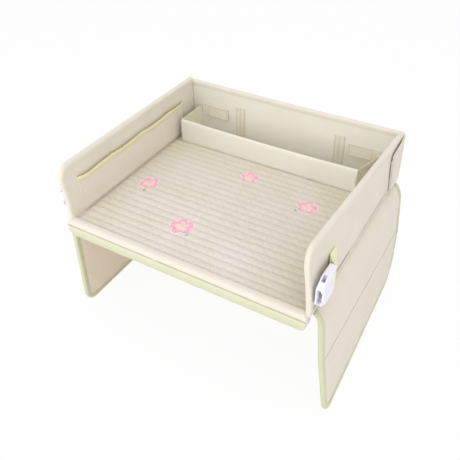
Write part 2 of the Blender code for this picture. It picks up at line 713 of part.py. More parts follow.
def build_lower_leg(side, hinge, fold, middle):
    sign = SIDES[side]
    seam = GAP / 2
    tape_foot = -(leg_length(side) - fold)
    panel_foot = tape_foot + EDGE_MARGIN
    radii = (LEG_CORNER, LEG_CORNER, 0, 0)
    outline = rectangle(LEG_PANEL_FRONT, LEG_PANEL_REAR, panel_foot, -seam, radii)
    board_outline = rectangle(LEG_PANEL_FRONT + COVER, LEG_PANEL_REAR - COVER, panel_foot + COVER,
                              -seam - COVER, radii)
    covered_board(side + "_leg_lower", outline, board_outline, "YZ", middle, hinge, sign,
                  ("beige_lining", "cream_fabric"))
    grown = LEG_CORNER + EDGE_MARGIN
    rear_arc = arc(LEG_REAR - grown, tape_foot + grown, grown, 0, -90)
    front_arc = arc(LEG_FRONT + grown, tape_foot + grown, grown, 270, 180)
    edge = [(LEG_REAR, -seam)] + rear_arc + front_arc + [(LEG_FRONT, -seam)]
    node = tape(side + "_leg_lower_tape", "green_tape", edge, "YZ", middle, hinge, sign)
    reach = foot_reach(side) + OVERRUN
    floor = box((0, reach), (0, TRAY_DEPTH), (-LEG_DROP - OVERRUN, -LEG_DROP))
    cut(node, floor, side + "_floor_plane", sign, parent=root)


# Webbing and buckle

def bar_place():
    """Centre of the buckle's bar, outboard of the wall hinge and behind the tray's front."""
    out = WALL_MIDDLE + EDGE_HALF + GAP + BUCKLE_THICKNESS / 2 - WALL_HINGE_X
    return out, BUCKLE_FRONT + BUCKLE_LENGTH - BUCKLE_BAR / 2


def build_webbing(side, hinge):
    """Webbing sewn to the wall's outer face and looped round the buckle's bar."""
    sign = SIDES[side]
    bar_x, bar_y = bar_place()
    lay = HALF_WIDTH + GAP + WEBBING / 2 - WALL_HINGE_X
    loop = math.hypot(BUCKLE_BAR, BUCKLE_BAR) / 2 + GAP + WEBBING / 2
    steps = 2 * ARC_STEPS
    inner_run = [(lay, WEBBING_REAR), (lay, WEBBING_RISE_START)]
    turn = []
    for step in range(steps + 1):
        angle = math.pi + math.pi * step / steps
        turn.append((bar_x + loop * math.cos(angle), bar_y + loop * math.sin(angle)))
    second = lay + WEBBING + GAP
    outer_run = [(bar_x + loop, bar_y + LOOP_SHANK), (second, WEBBING_RISE_START + WEBBING),
                 (second, WEBBING_REAR)]
    path = inner_run + turn + outer_run
    half_width = WEBBING_WIDTH / 2
    add_node(side + "_buckle_webbing",
             outline_mesh(ribbon(path, -WEBBING / 2, WEBBING / 2),
                          BUCKLE_HEIGHT - half_width, BUCKLE_HEIGHT + half_width, "XY"),
             "green_tape", hinge, sign)


def buckle_block(side, front, hinge):
    """The buckle half before its openings are cut: a tapered block with rounded edges."""
    shares = (0, 0.08, 0.35, 0.62, 0.88, 1)
    halves = (BUCKLE_NOSE_HALF, BUCKLE_FRONT_HALF, BUCKLE_MID_HALF, BUCKLE_MID_HALF,
              BUCKLE_REAR_HALF, BUCKLE_REAR_HALF)
    edge = [(front + BUCKLE_LENGTH * share, half) for share, half in zip(shares, halves)]
    outline = edge + [(y, -half) for y, half in reversed(edge)]
    half_thick = BUCKLE_THICKNESS / 2
    node = add_node(side + "_buckle_half", outline_mesh(outline, -half_thick, half_thick, "YZ"),
                    "white_plastic", hinge, SIDES[side])
    flat = node.modifiers.new("whole flat faces", "DECIMATE")
    flat.decimate_type = "DISSOLVE"
    flat.angle_limit = math.radians(1)
    bevel = node.modifiers.new("rounded edges", "BEVEL")
    bevel.width = BUCKLE_ROUND
    bevel.segments = 2
    bevel.limit_method = "ANGLE"
    bevel.angle_limit = math.radians(50)
    return node


def build_buckle(side, wall_hinge):
    """Buckle half with a front socket, side windows and a rear bar, turning on the webbing."""
    sign = SIDES[side]
    bar_x, bar_y = bar_place()
    hinge = make_empty(side + "_buckle_hinge", (sign * bar_x, bar_y, BUCKLE_HEIGHT), wall_hinge)
    front = BUCKLE_BAR / 2 - BUCKLE_LENGTH
    node = buckle_block(side, front, hinge)
    far = BUCKLE_THICKNESS / 2 + OVERRUN
    slot_front = -BUCKLE_BAR / 2 - BUCKLE_SLOT
    bar = BUCKLE_BAR / 2
    round_bar = [(-far, slot_front), (far, slot_front), (far, far), (bar, far), (bar, -bar),
                 (-bar, -bar), (-bar, far), (-far, far)]
    cut(node, outline_mesh(round_bar, -BUCKLE_SLOT_HALF, BUCKLE_SLOT_HALF, "XY"),
        side + "_webbing_slot", sign)
    reach = BUCKLE_MID_HALF + OVERRUN
    keyhole_end = slot_front - KEYHOLE_LAND
    keyhole_start = keyhole_end - KEYHOLE
    mouth, end = front - OVERRUN, keyhole_start - SOCKET_LAND
    low, high = front + WINDOW_LANDS[0], end - WINDOW_LANDS[1]
    wide, back = SOCKET_HALF_WIDTH, SOCKET_HALF_WIDTH - SOCKET_TAPER
    socket = [(mouth, -wide), (low, -wide), (low, -reach), (high, -reach), (high, -back), (end, -back),
              (end, back), (high, back), (high, reach), (low, reach), (low, wide), (mouth, wide)]
    cut(node, outline_mesh(socket, -SOCKET_THICKNESS / 2, SOCKET_THICKNESS / 2, "YZ"),
        side + "_socket", sign)
    cut(node, box((0, far), (keyhole_start, keyhole_end), (-KEYHOLE_HALF_WIDTH, KEYHOLE_HALF_WIDTH)),
        side + "_keyhole", sign)


start_clean()
materials = {name: make_material(name) for name in COLOURS}
parts = make_collection("car_seat_tray_table")
cutters = make_collection("cutters")
root = make_empty("tray_root", (-MIDDLE_X, -MIDDLE_Y, LEG_DROP))

build_base()
build_lip()
build_back_wall()
build_trough()
for tray_side in SIDES:
    side_hinge = build_side_wall(tray_side)
    build_buckle(tray_side, side_hinge)
    build_leg(tray_side)
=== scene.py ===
"""Looks of the car seat tray table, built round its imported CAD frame.

Lengths are in millimetres in the tray's own frame: X to the right from the middle, Y from the
child's side to the back wall, Z up from the tray surface.
"""

import math

import bmesh
import bpy
import numpy as np
from mathutils import Matrix, Vector


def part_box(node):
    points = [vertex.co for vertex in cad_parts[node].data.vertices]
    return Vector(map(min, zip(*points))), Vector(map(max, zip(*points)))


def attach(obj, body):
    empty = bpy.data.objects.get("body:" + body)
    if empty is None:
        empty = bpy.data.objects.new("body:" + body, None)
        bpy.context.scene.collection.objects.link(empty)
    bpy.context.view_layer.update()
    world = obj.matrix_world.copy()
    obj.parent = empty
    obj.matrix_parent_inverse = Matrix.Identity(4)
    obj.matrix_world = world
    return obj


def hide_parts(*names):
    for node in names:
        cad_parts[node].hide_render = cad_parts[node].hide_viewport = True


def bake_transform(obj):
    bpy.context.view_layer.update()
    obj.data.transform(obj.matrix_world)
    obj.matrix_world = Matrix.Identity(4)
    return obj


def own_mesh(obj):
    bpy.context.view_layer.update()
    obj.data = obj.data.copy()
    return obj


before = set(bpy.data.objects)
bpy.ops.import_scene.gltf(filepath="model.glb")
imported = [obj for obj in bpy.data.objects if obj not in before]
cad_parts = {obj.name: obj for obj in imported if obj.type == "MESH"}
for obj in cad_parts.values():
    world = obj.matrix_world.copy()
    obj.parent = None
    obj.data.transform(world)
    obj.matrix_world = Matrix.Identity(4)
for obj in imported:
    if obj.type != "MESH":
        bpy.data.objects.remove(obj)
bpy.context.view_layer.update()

MM = 0.001
SIDES = {"left": -1, "right": 1}

# Sizes of the covered boards
BOARD_HALF = 1.5
COVER_IN = 1.8
PANEL_HALF = 2.7
EDGE_HALF = 3.7
EDGE_MARGIN = 1.9
STITCH_IN = 7.6
STITCH_PITCH = 3.1

# Tray
HALF_WIDTH = 200.0
WALL_MIDDLE = HALF_WIDTH - PANEL_HALF
WALL_HEIGHT = 90.0
WALL_REAR = 345.3
WALL_FOOT = 0.5
WALL_CORNER = 22.0
BACK_MIDDLE = 349.3
BACK_HALF = 202.2
BACK_CORNER = 5.0
QUILT_HALF = 194.3
QUILT_FRONT = 9.3
QUILT_REAR = 280.0
QUILT_FOOT = -6.0
CHANNELS = 20
CHANNEL_ROWS = 6
FLOOR_DROP = 202.0
BASE_HALF = 185.3
BASE_REAR = 346.3
BASE_UNDERSIDE = (-9.6, -10.5)
BASE_EDGING = (346.4, 346.95)
PAD_FRONT = 280.3
WALL_BOARD = ((2.8, 1.4), (344.4, 87.2))
BACK_BOARD = ((-201.3, 1.4), (201.3, 87.2))

# Padded lip: half its length, its rounded end, and its section's back, front, foot, head and radius
LIP_HALF = 198
LIP_ROUNDING = 12
LIP_SECTION = (-6.0, 9.0, -25.0, 4.0, 5.5)

# Trough
TROUGH_MIDDLE = 283.0
TROUGH_HEIGHT = 43.5
TROUGH_ENDS = (-179.1, 152.7)

# Legs
LEG_HINGE = (196.85, -2.5)
LEG_OFFSET = 13.0
LEG_BEND = 26.0
LEG_TAIL = 2.1
LEG_SPLAY = {"left": math.radians(2.0), "right": math.radians(6.0)}
LEG_FRONT = 10.3
LEG_REAR = 348.0
LEG_CORNERS = {"front": 20.0, "rear": 45.0}
HINGE_HALF = 1.05
FOLD_DROP = 94.0
LEG_TAPE_START = 5.4
GROOVE = 1.1
SLIT = 0.15

# How far each leg's foot is twisted outward, below its fold, at its front and rear ends
LEG_TWIST = {"left": (0.0, 0.0), "right": (5.0, -6.5)}

# How far the walls' two top corners stand from an upright panel: outward, back and up
WALL_LEAN = {
    "left": ((8.5, 0.0, 0.0), (1.0, 0.0, 5.0)),
    "right": ((-15.0, 6.0, 8.0), (-3.0, 0.0, 1.0)),
}
WALL_CURVE = {"left": 2.2, "right": 1.5}

quilt_low, quilt_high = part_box("tray_quilt")
front_low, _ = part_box("left_wall_edge_tape")
TRAY = Vector(((quilt_low.x + quilt_high.x) / 2, front_low.y, FLOOR_DROP * MM))

# Printed flowers on the quilt: middle, size and turn
BLOSSOMS = (
    ((104.0, 206.0), 17.5, 0.4),
    ((-40.0, 70.0), 19.0, 2.0),
    ((-14.0, 234.0), 16.5, -0.7),
    ((-150.0, 138.0), 17.0, 1.2),
)


# Finishes

def tint(red, green, blue):
    """A colour as it is written on screen, from 0 to 255, as the shader takes it."""
    shares = [value / 255 for value in (red, green, blue)]
    return [v / 12.92 if v <= 0.04045 else ((v + 0.055) / 1.055) ** 2.4 for v in shares]


class Value:
    """A number in a finish's nodes. Sums on it add Math nodes."""

    def __init__(self, finish, socket):
        self.finish = finish
        self.socket = socket

    def __add__(self, other):
        return self.finish.maths("ADD", self, other)

    def __sub__(self, other):
        return self.finish.maths("SUBTRACT", self, other)

    def __rsub__(self, other):
        return self.finish.maths("SUBTRACT", other, self)

    def __mul__(self, other):
        return self.finish.maths("MULTIPLY", self, other)

    def __truediv__(self, other):
        return self.finish.maths("DIVIDE", self, other)

    def __pow__(self, other):
        return self.finish.maths("POWER", self, other)

    __radd__ = __add__
    __rmul__ = __mul__


class Finish:
    """One material and the nodes that feed its shader."""

    def __init__(self, name, roughness, sheen=0.0, coat=0.0):
        self.material = bpy.data.materials.new(name)
        self.material.use_nodes = True
        self.tree = self.material.node_tree
        self.shader = self.tree.nodes["Principled BSDF"]
        self.shader.inputs["Roughness"].default_value = roughness
        self.shader.inputs["Sheen Weight"].default_value = sheen
        self.shader.inputs["Sheen Roughness"].default_value = 0.5
        self.shader.inputs["Coat Weight"].default_value = coat
        cloth = self.node("ShaderNodeUVMap", {"uv_map": "cloth"})
        parts = self.node("ShaderNodeSeparateXYZ", Vector=cloth.outputs["UV"])
        self.across = Value(self, parts.outputs["X"])
        self.along = Value(self, parts.outputs["Y"])
        self.place = self.node("ShaderNodeTexCoord").outputs["Object"]

    def node(self, kind, settings=None, **sockets):
        """Any node: its settings first, then the values or links of its sockets."""
        made = self.tree.nodes.new(kind)
        for setting, value in (settings or {}).items():
            setattr(made, setting, value)
        for socket, value in sockets.items():
            self.feed(made.inputs[socket.replace("_", " ")], value)
        return made

    def feed(self, socket, value):
        """A link from a node's socket, or a plain value."""
        if isinstance(value, Value):
            value = value.socket
        if isinstance(value, bpy.types.NodeSocket):
            self.tree.links.new(value, socket)
        else:
            socket.default_value = value

    def maths(self, operation, *numbers):
        made = self.node("ShaderNodeMath", {"operation": operation})
        for socket, number in zip(made.inputs, numbers):
            self.feed(socket, number)
        return Value(self, made.outputs["Value"])

    def clip(self, value):
        """A value held between 0 and 1."""
        return self.maths("MINIMUM", self.maths("MAXIMUM", value, 0.0), 1.0)

    def wave(self, value, length):
        """A sine of that wave length, from -1 to 1."""
        return self.maths("SINE", value * (math.tau / length))

    def noise(self, size, detail=2.0, stretch=(1, 1, 1)):
        """Unevenness from 0 to 1 with patches of about that size in millimetres."""
        mapped = self.node("ShaderNodeMapping", Vector=self.place, Scale=stretch)
        made = self.node("ShaderNodeTexNoise", Vector=mapped.outputs["Vector"],
                         Scale=1 / (size * MM), Detail=detail)
        return Value(self, made.outputs["Fac"])

    def mix(self, share, low, high):
        """A colour between two colours."""
        made = self.node("ShaderNodeMix", {"data_type": "RGBA"})
        self.feed(made.inputs["Factor"], share)
        colours = [socket for socket in made.inputs if socket.type == "RGBA"]
        self.feed(colours[0], (*low, 1) if isinstance(low, list) else low)
        self.feed(colours[1], (*high, 1) if isinstance(high, list) else high)
        return next(socket for socket in made.outputs if socket.type == "RGBA")

    def bump(self, height, depth, strength=1.0):
        """A raised pattern; depth is its height in millimetres."""
        made = self.node("ShaderNodeBump", Strength=strength, Distance=depth * MM, Height=height)
        self.feed(self.shader.inputs["Normal"], made.outputs["Normal"])

    def colour(self, value):
        self.feed(self.shader.inputs["Base Color"], (*value, 1) if isinstance(value, list) else value)

    def roughness(self, value):
        self.feed(self.shader.inputs["Roughness"], value)


def weave(finish, pitch):
    """Height of a plain weave of that pitch, from 0 to 1."""
    warp = finish.wave(finish.across, pitch)
    weft = finish.wave(finish.along, pitch)
    return warp * weft * 0.5 + 0.5


def cloth_finish(name, pale, deep, pitch, depth, roughness=0.85, sheen=0.25, patch=45):
    """Woven cloth with soft patches of colour, a thread here and there, a fine raised weave and painted shade
    in the weave's valleys.
    """
    finish = Finish(name, roughness, sheen)
    threads = weave(finish, pitch)
    patches = finish.noise(patch, 3)
    slubs = finish.noise(2.2, 2, (1, 0.25, 1))
    share = finish.clip(patches * 1.5 - 0.35)
    body = finish.mix(share, pale, deep)
    # Painted shade in the weave's valleys, and the darker tone of the odd thick thread
    darker = [value * 0.86 for value in deep]
    grain = finish.clip(0.22 * (1 - threads) + 0.34 * slubs - 0.08)
    finish.colour(finish.mix(grain, body, darker))
    finish.roughness(finish.clip(roughness - 0.12 * patches + 0.06))
    finish.bump(threads * 0.6 + slubs * 0.4, depth)
    return finish.material


def blossom(finish, middle, size, turn, colours):
    """Colours with one five-petalled flower and its leaf laid over them."""
    low = finish.across - (TRAY.x / MM + middle[0])
    high = finish.along - (TRAY.y / MM + middle[1])
    reach = finish.maths("SQRT", low * low + high * high)
    angle = finish.maths("ARCTAN2", high, low) - turn
    lobes = finish.maths("ABSOLUTE", finish.maths("COSINE", angle * 2.5)) ** 0.6
    edge = (lobes * 0.42 + 0.58) * size
    leaf_low = low * math.cos(turn) + high * math.sin(turn)
    leaf_high = high * math.cos(turn) - low * math.sin(turn)
    leaf_low, leaf_high = leaf_low + size * 0.9, leaf_high + size * 0.55
    leaf = finish.maths("SQRT", leaf_low * leaf_low / 20.0 + leaf_high * leaf_high / 4.6)
    colours = finish.mix(finish.clip((1 - leaf) * 5), colours, tint(112, 176, 142))
    colours = finish.mix(finish.clip((edge + 1.1 - reach) * 2), colours, tint(238, 232, 244))
    colours = finish.mix(finish.clip((edge - reach) * 2), colours, tint(240, 176, 188))
    colours = finish.mix(finish.clip((edge * 0.62 - reach) * 0.9), colours, tint(243, 208, 210))
    return finish.mix(finish.clip((size * 0.17 - reach) * 2), colours, tint(236, 214, 150))


def quilt_finish():
    """Quilted cotton: pinkish in the middle, darker and greener by the walls and the trough, with painted
    shade towards the right-hand wall, along the sewn seams and in the weave's valleys, and a few printed
    flowers.
    """
    finish = Finish("quilted cotton", 0.85, 0.25)
    threads = weave(finish, 0.8)
    patches = finish.noise(60, 3)
    slubs = finish.noise(2.4, 2, (0.5, 1, 1))
    side = finish.maths("ABSOLUTE", finish.across - TRAY.x / MM) / QUILT_HALF
    rear = (finish.along - TRAY.y / MM) / QUILT_REAR
    edge = finish.clip(side ** 4 * 0.6 + finish.clip(rear) ** 5 * 0.6)
    # Painted shade: the quilt turns darker and greener towards the right-hand wall
    shaded = finish.clip((finish.across - (TRAY.x / MM + 70)) / 110)
    share = finish.clip(patches * 1.6 - 0.55 + edge + shaded * 0.4)
    body = finish.mix(share, tint(229, 219, 216), tint(217, 210, 188))
    body = finish.mix(shaded * 0.35, body, tint(192, 186, 172))
    # Painted shade in the weave's valleys, with the darker tone of the odd thick thread
    grain = finish.clip(0.25 * (1 - threads) + 0.4 * slubs - 0.12)
    body = finish.mix(grain, body, tint(198, 189, 173))
    channel = (QUILT_REAR - QUILT_FRONT) / CHANNELS
    crown = finish.maths("ABSOLUTE", finish.maths("SINE", (
        finish.along - (TRAY.y / MM + QUILT_FRONT)) * (math.pi / channel)))
    # Painted shade along the channels' sewn seams, darker where each crown dips
    body = finish.mix(finish.clip(1 - crown * 2.2) * 0.24, body, tint(188, 178, 158))
    for middle, size, turn in BLOSSOMS:
        body = blossom(finish, middle, size, turn, body)
    finish.colour(body)
    finish.bump(threads * 0.5 + slubs * 0.5, 0.10)
    return finish.material


def ribbed_finish(name, pale, deep, rib, depth, roughness=0.8):
    """Narrow woven tape: ribs along it, with cross threads between them and painted shade between the ribs.
    """
    finish = Finish(name, roughness, 0.2)
    ribs = finish.wave(finish.across, rib) * 0.5 + 0.5
    cross = finish.wave(finish.along, rib * 0.8) * 0.5 + 0.5
    patches = finish.noise(30, 3)
    body = finish.mix(finish.clip(patches * 1.4 - 0.3), pale, deep)
    # Painted shade between the ribs, with the cross threads' darker tone
    finish.colour(finish.mix(finish.clip((1 - ribs) * 0.3 + cross * 0.1), body, [v * 0.8 for v in deep]))
    finish.bump(ribs * 0.7 + cross * 0.3, depth)
    return finish.material


def lip_band_finish():
    """Ribbed band under the lip: a brown seam line at its top, pale below it and greener at its foot."""
    finish = Finish("lip band", 0.8, 0.2)
    ribs = finish.wave(finish.across, 1.6) * 0.5 + 0.5
    cross = finish.wave(finish.along, 1.3) * 0.5 + 0.5
    parts = finish.node("ShaderNodeSeparateXYZ", Vector=finish.place)
    drop = (TRAY.z - Value(finish, parts.outputs["Z"])) * 1000
    patches = finish.noise(40, 3)
    share = finish.clip((drop - 8) / 15 + patches * 0.5 - 0.25)
    body = finish.mix(share, tint(221, 221, 198), tint(203, 205, 168))
    # Painted shade between the ribs, with the cross threads' darker tone
    grain = finish.clip((1 - ribs) * 0.3 + cross * 0.12)
    body = finish.mix(grain, body, tint(186, 186, 150))
    body = finish.mix(finish.clip((5.3 - drop) * 1.5) * 0.75, body, tint(166, 152, 112))
    body = finish.mix(finish.clip((drop - 23.4) * 1.2) * 0.7, body, tint(158, 156, 128))
    finish.colour(body)
    finish.bump(ribs * 0.7 + cross * 0.3, 0.12)
    return finish.material


def board_finish():
    finish = Finish("stiff board", 0.5)
    speckle = finish.noise(1.5, 3)
    finish.colour(finish.mix(speckle, tint(226, 226, 222), tint(208, 208, 204)))
    finish.bump(speckle, 0.05)
    return finish.material


def plastic_finish():
    """Moulded satin plastic with a faint flow grain and rubbed spots."""
    finish = Finish("moulded plastic", 0.35, 0, 0.1)
    flow = finish.noise(6, 3, (1, 0.4, 1))
    rubbed = finish.noise(14, 4)
    finish.colour(finish.mix(flow, tint(241, 239, 247), tint(229, 226, 240)))
    finish.roughness(0.28 + 0.2 * rubbed)
    finish.bump(finish.noise(0.6, 3), 0.02)
    return finish.material


CREAM = cloth_finish("cream oxford cloth", tint(229, 222, 208), tint(221, 212, 195), 0.9, 0.08)
PALE = cloth_finish("pale cream cloth", tint(238, 235, 224), tint(231, 227, 213), 0.9, 0.08)
LINING = cloth_finish("beige lining", tint(239, 225, 207), tint(231, 217, 197), 0.8, 0.06)
QUILTED = quilt_finish()
LIP = cloth_finish("padded lip cloth", tint(232, 224, 213), tint(227, 218, 204), 0.8, 0.05)
TAPE = ribbed_finish("cream edge tape", tint(234, 228, 214), tint(226, 218, 203), 1.1, 0.06)
GREEN = ribbed_finish("pale green tape", tint(216, 217, 186), tint(204, 206, 167), 1.6, 0.10)
LIP_BAND = lip_band_finish()
BOARD = board_finish()
PLASTIC = plastic_finish()
ELASTIC = ribbed_finish("yellow elastic", tint(235, 231, 190), tint(226, 219, 172), 1.2, 0.08)
NET = cloth_finish("cream net", tint(254, 249, 235), tint(250, 241, 224), 0.4, 0.02)
HOOK = cloth_finish("hook fabric", tint(236, 233, 240), tint(224, 221, 232), 0.7, 0.12)
# The hinge cloth in the legs' fold groove: its dark olive is partly painted shade of the groove
SEAM = ribbed_finish("fold cloth darkened with painted groove shade", tint(176, 160, 118), tint(160, 146, 106), 1.2, 0.05)
# The sewing thread is cream: its darker colour here is painted shade of the stitched groove
THREAD = cloth_finish("cream thread with painted groove shade", tint(188, 177, 146), tint(178, 166, 134), 0.3, 0.02)
HEM_THREAD = cloth_finish("hem thread", tint(196, 185, 144), tint(184, 172, 130), 0.3, 0.02)
HEM = cloth_finish("tab hem", tint(229, 223, 200), tint(220, 213, 188), 0.6, 0.04)
WEBBING = ribbed_finish("pale green webbing", tint(248, 249, 208), tint(240, 242, 194), 1.8, 0.10)
# The trough's ends are the cream cloth; this yellower copy is painted shade, the tint they take in shade
END = cloth_finish("trough end cloth yellowed with painted shade", tint(233, 230, 208), tint(225, 221, 196), 0.9, 0.08)
# A dark olive line on the elastic's top edge: painted shade of the gap between the elastic and the wall
RIM_SHADE_LINE = cloth_finish("painted shade line on the elastic", tint(186, 174, 118), tint(172, 160, 106), 0.3, 0.02)


# Shapes

class Pattern:
    """Points in the tray frame, and the faces between them."""

    def __init__(self):
        self.points = []
        self.faces = []
        self.count = 0

    def add(self, points):
        flat = np.asarray(points, float).reshape(-1, 3)
        first = self.count
        self.points.append(flat)
        self.count += len(flat)
        return first

    def grid(self, rows, wrap=False):
        """Rows of points joined by four-sided faces; wrap joins each row's end to its start."""
        rows = np.asarray(rows, float)
        first = self.add(rows)
        high, wide = rows.shape[:2]
        here = first + np.arange(high * wide).reshape(high, wide)
        beside = np.roll(here, -1, axis=1)
        quads = np.stack([here[:-1], beside[:-1], beside[1:], here[1:]], -1)
        quads = quads if wrap else quads[:, :-1]
        self.faces += quads.reshape(-1, 4).tolist()
        return first

    def shell(self, front, back):
        """Two sheets of the same grid, closed round their rim."""
        front, back = np.asarray(front, float), np.asarray(back, float)
        high, wide = front.shape[:2]
        one, two = self.grid(front), self.grid(back)
        rim = list(range(wide))
        rim += [row * wide + wide - 1 for row in range(1, high)]
        rim += [(high - 1) * wide + column for column in range(wide - 2, -1, -1)]
        rim += [row * wide for row in range(high - 2, 0, -1)]
        for here, there in zip(rim, rim[1:] + rim[:1]):
            self.faces.append((one + here, one + there, two + there, two + here))

    def tube(self, rings):
        """Closed rings joined along, with both ends filled."""
        rings = np.asarray(rings, float)
        first = self.grid(rings, wrap=True)
        high, wide = rings.shape[:2]
        self.faces.append(tuple(first + column for column in range(wide)))
        last = first + (high - 1) * wide
        self.faces.append(tuple(last + column for column in range(wide - 1, -1, -1)))


def lay_cloth(mesh, turned_cloth):
    """Cloth coordinates in millimetres, by the axis that each face looks along most."""
    layer = mesh.uv_layers.new(name="cloth")
    corners = np.empty(len(mesh.loops), np.int32)
    mesh.loops.foreach_get("vertex_index", corners)
    places = np.empty(len(mesh.vertices) * 3)
    mesh.vertices.foreach_get("co", places)
    places = places.reshape(-1, 3) / MM
    normals = np.empty(len(mesh.polygons) * 3)
    mesh.polygons.foreach_get("normal", normals)
    axis = np.abs(normals.reshape(-1, 3)).argmax(1)
    sides = np.empty(len(mesh.polygons), np.int32)
    mesh.polygons.foreach_get("loop_total", sides)
    axis = np.repeat(axis, sides)
    first = np.where(axis == 0, 1, 0)
    second = np.where(axis == 2, 1, 2)
    here = places[corners]
    rows = np.arange(len(corners))
    if turned_cloth:
        first, second = second, first
    layer.data.foreach_set("uv", np.stack([here[rows, first], here[rows, second]], 1).ravel())


def piece(name, pattern, finish, body, nodes=(), slot=None, sharp=38, turned_cloth=False):
    """A mesh from a pattern, in place of the nodes it stands for; it rides on a body given by its name, and
    stays fixed in place when given two bodies and a line.
    """
    mesh = bpy.data.meshes.new(name)
    places = np.concatenate(pattern.points) * MM + np.array(TRAY)
    mesh.from_pydata(places.tolist(), [], pattern.faces)
    shape = bmesh.new()
    shape.from_mesh(mesh)
    bmesh.ops.recalc_face_normals(shape, faces=shape.faces)
    shape.to_mesh(mesh)
    shape.free()
    mesh.materials.append(finish)
    mesh.polygons.foreach_set("use_smooth", [True] * len(mesh.polygons))
    mesh.set_sharp_from_angle(angle=math.radians(sharp))
    lay_cloth(mesh, turned_cloth)
    made = bpy.data.objects.new(name, mesh)
    bpy.context.scene.collection.objects.link(made)
    if isinstance(body, str):
        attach(made, body)
    else:
        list(body)
        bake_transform(made)
    if nodes:
        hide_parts(*nodes)
    return made


def uneven(first, second, size, seed):
    """Smooth unevenness from about -1 to 1 over two coordinates, in bumps of about that size."""
    draw = np.random.default_rng(seed)
    total = 0
    for _ in range(8):
        turn = draw.uniform(0, math.tau)
        length = size * draw.uniform(0.7, 1.8)
        start = draw.uniform(0, math.tau)
        total = total + np.sin((first * np.cos(turn) + second * np.sin(turn)) * math.tau / length + start)
    return total / 4


def wall_place(side):
    """From wall sizes (along, up, out from the panel's middle) to the tray frame."""
    front, rear = (np.array(lean) for lean in WALL_LEAN[side])

    def place(along, up, out):
        share = np.clip(along / WALL_REAR, 0, 1)[..., None]
        rise = np.clip(up / WALL_HEIGHT, 0, 1.2)[..., None]
        shift = ((1 - share) * front + share * rear) * rise ** WALL_CURVE[side]
        spots = np.stack([WALL_MIDDLE + out, along, up], -1) + shift
        spots[..., 0] *= SIDES[side]
        return spots

    return place


def back_place(across, up, out):
    """From back wall sizes (across, up, out behind the panel's middle) to the tray frame."""
    rise = np.clip(up / WALL_HEIGHT, 0, 1.2)
    corner = np.clip(across / BACK_HALF, 0, 1)
    slump = -1.5 * np.sin(math.pi * np.clip(across / BACK_HALF + 1, 0, 2) / 2) * rise ** 2
    return np.stack([across - 3.0 * corner * rise ** WALL_CURVE["right"], BACK_MIDDLE + out + 0.0 * across,
                     up + slump], -1)


def trough_place(across, up, out):
    rise = np.clip(up / TROUGH_HEIGHT, 0, 1)
    low, high = TROUGH_ENDS
    middle = np.sin(math.pi * np.clip((across - low) / (high - low), 0, 1))
    return np.stack([across, TROUGH_MIDDLE + out - 2.2 * middle * rise,
                     up - 0.8 * middle * rise], -1)


def leg_line():
    """Arc lengths, places and outward normals of a leg's middle line, in its own frame."""
    start, end = np.array((0.0, 0.0)), np.array((LEG_OFFSET, -LEG_BEND))
    out = np.array((LEG_OFFSET * 0.75, 0.0))
    down = end + np.array((0.0, LEG_BEND * 0.45))
    share = np.linspace(0, 1, 33)[:, None]
    rest = 1 - share
    curve = start * rest ** 3 + out * 3 * rest ** 2 * share + down * 3 * rest * share ** 2 + end * share ** 3
    line = np.concatenate([[(-LEG_TAIL, 0.0)], curve, [(LEG_OFFSET, -260.0)]])
    steps = np.linalg.norm(np.diff(line, axis=0), axis=1)
    lengths = np.concatenate([[0], np.cumsum(steps)]) - LEG_TAIL
    runs = np.gradient(line, axis=0)
    runs[-1] = runs[-2] = (0, -1)
    runs[:2] = (1, 0)
    runs /= np.linalg.norm(runs, axis=1)[:, None]
    normals = np.stack([-runs[:, 1], runs[:, 0]], 1)
    return lengths, line, normals


LEG_LENGTHS, LEG_LINE, LEG_NORMALS = leg_line()
BEND_END = LEG_LENGTHS[-2]


def leg_half(reach):
    """Half thickness of a leg at that distance from its hinge line: bare seam, then board."""
    return np.interp(reach, (-LEG_TAIL, BEND_END / 2, BEND_END), (HINGE_HALF, HINGE_HALF, PANEL_HALF))


def leg_place(side):
    """From leg sizes (along, down from the hinge line, out) to the tray frame."""
    turn = LEG_SPLAY[side]
    front, rear = LEG_TWIST[side]

    def place(along, reach, out):
        spot_x = np.interp(reach, LEG_LENGTHS, LEG_LINE[:, 0])
        spot_z = np.interp(reach, LEG_LENGTHS, LEG_LINE[:, 1])
        spot_x = spot_x + out * np.interp(reach, LEG_LENGTHS, LEG_NORMALS[:, 0])
        spot_z = spot_z + out * np.interp(reach, LEG_LENGTHS, LEG_NORMALS[:, 1])
        x = LEG_HINGE[0] + spot_x * math.cos(turn) - spot_z * math.sin(turn)
        z = LEG_HINGE[1] + spot_x * math.sin(turn) + spot_z * math.cos(turn)
        share = np.clip((along - LEG_FRONT) / (LEG_REAR - LEG_FRONT), 0, 1)
        drop = np.clip((-z - FOLD_DROP - 4) / (FLOOR_DROP - FOLD_DROP - 4), 0, 1)
        x = x + (front + (rear - front) * share) * drop ** 0.95
        return np.stack([SIDES[side] * x, along + 0.0 * x, np.maximum(z, -FLOOR_DROP)], -1)

    return place


def leg_sizes(side):
    """Distances from the hinge line to the stitched fold and to the foot."""
    turn = LEG_SPLAY[side]
    bend_run = BEND_END - LEG_BEND
    fold = (FOLD_DROP + LEG_HINGE[1] + LEG_OFFSET * math.sin(turn)) / math.cos(turn)
    foot = (FLOOR_DROP + LEG_HINGE[1] + (LEG_OFFSET + EDGE_HALF) * math.sin(turn)) / math.cos(turn)
    return fold + bend_run, foot + bend_run


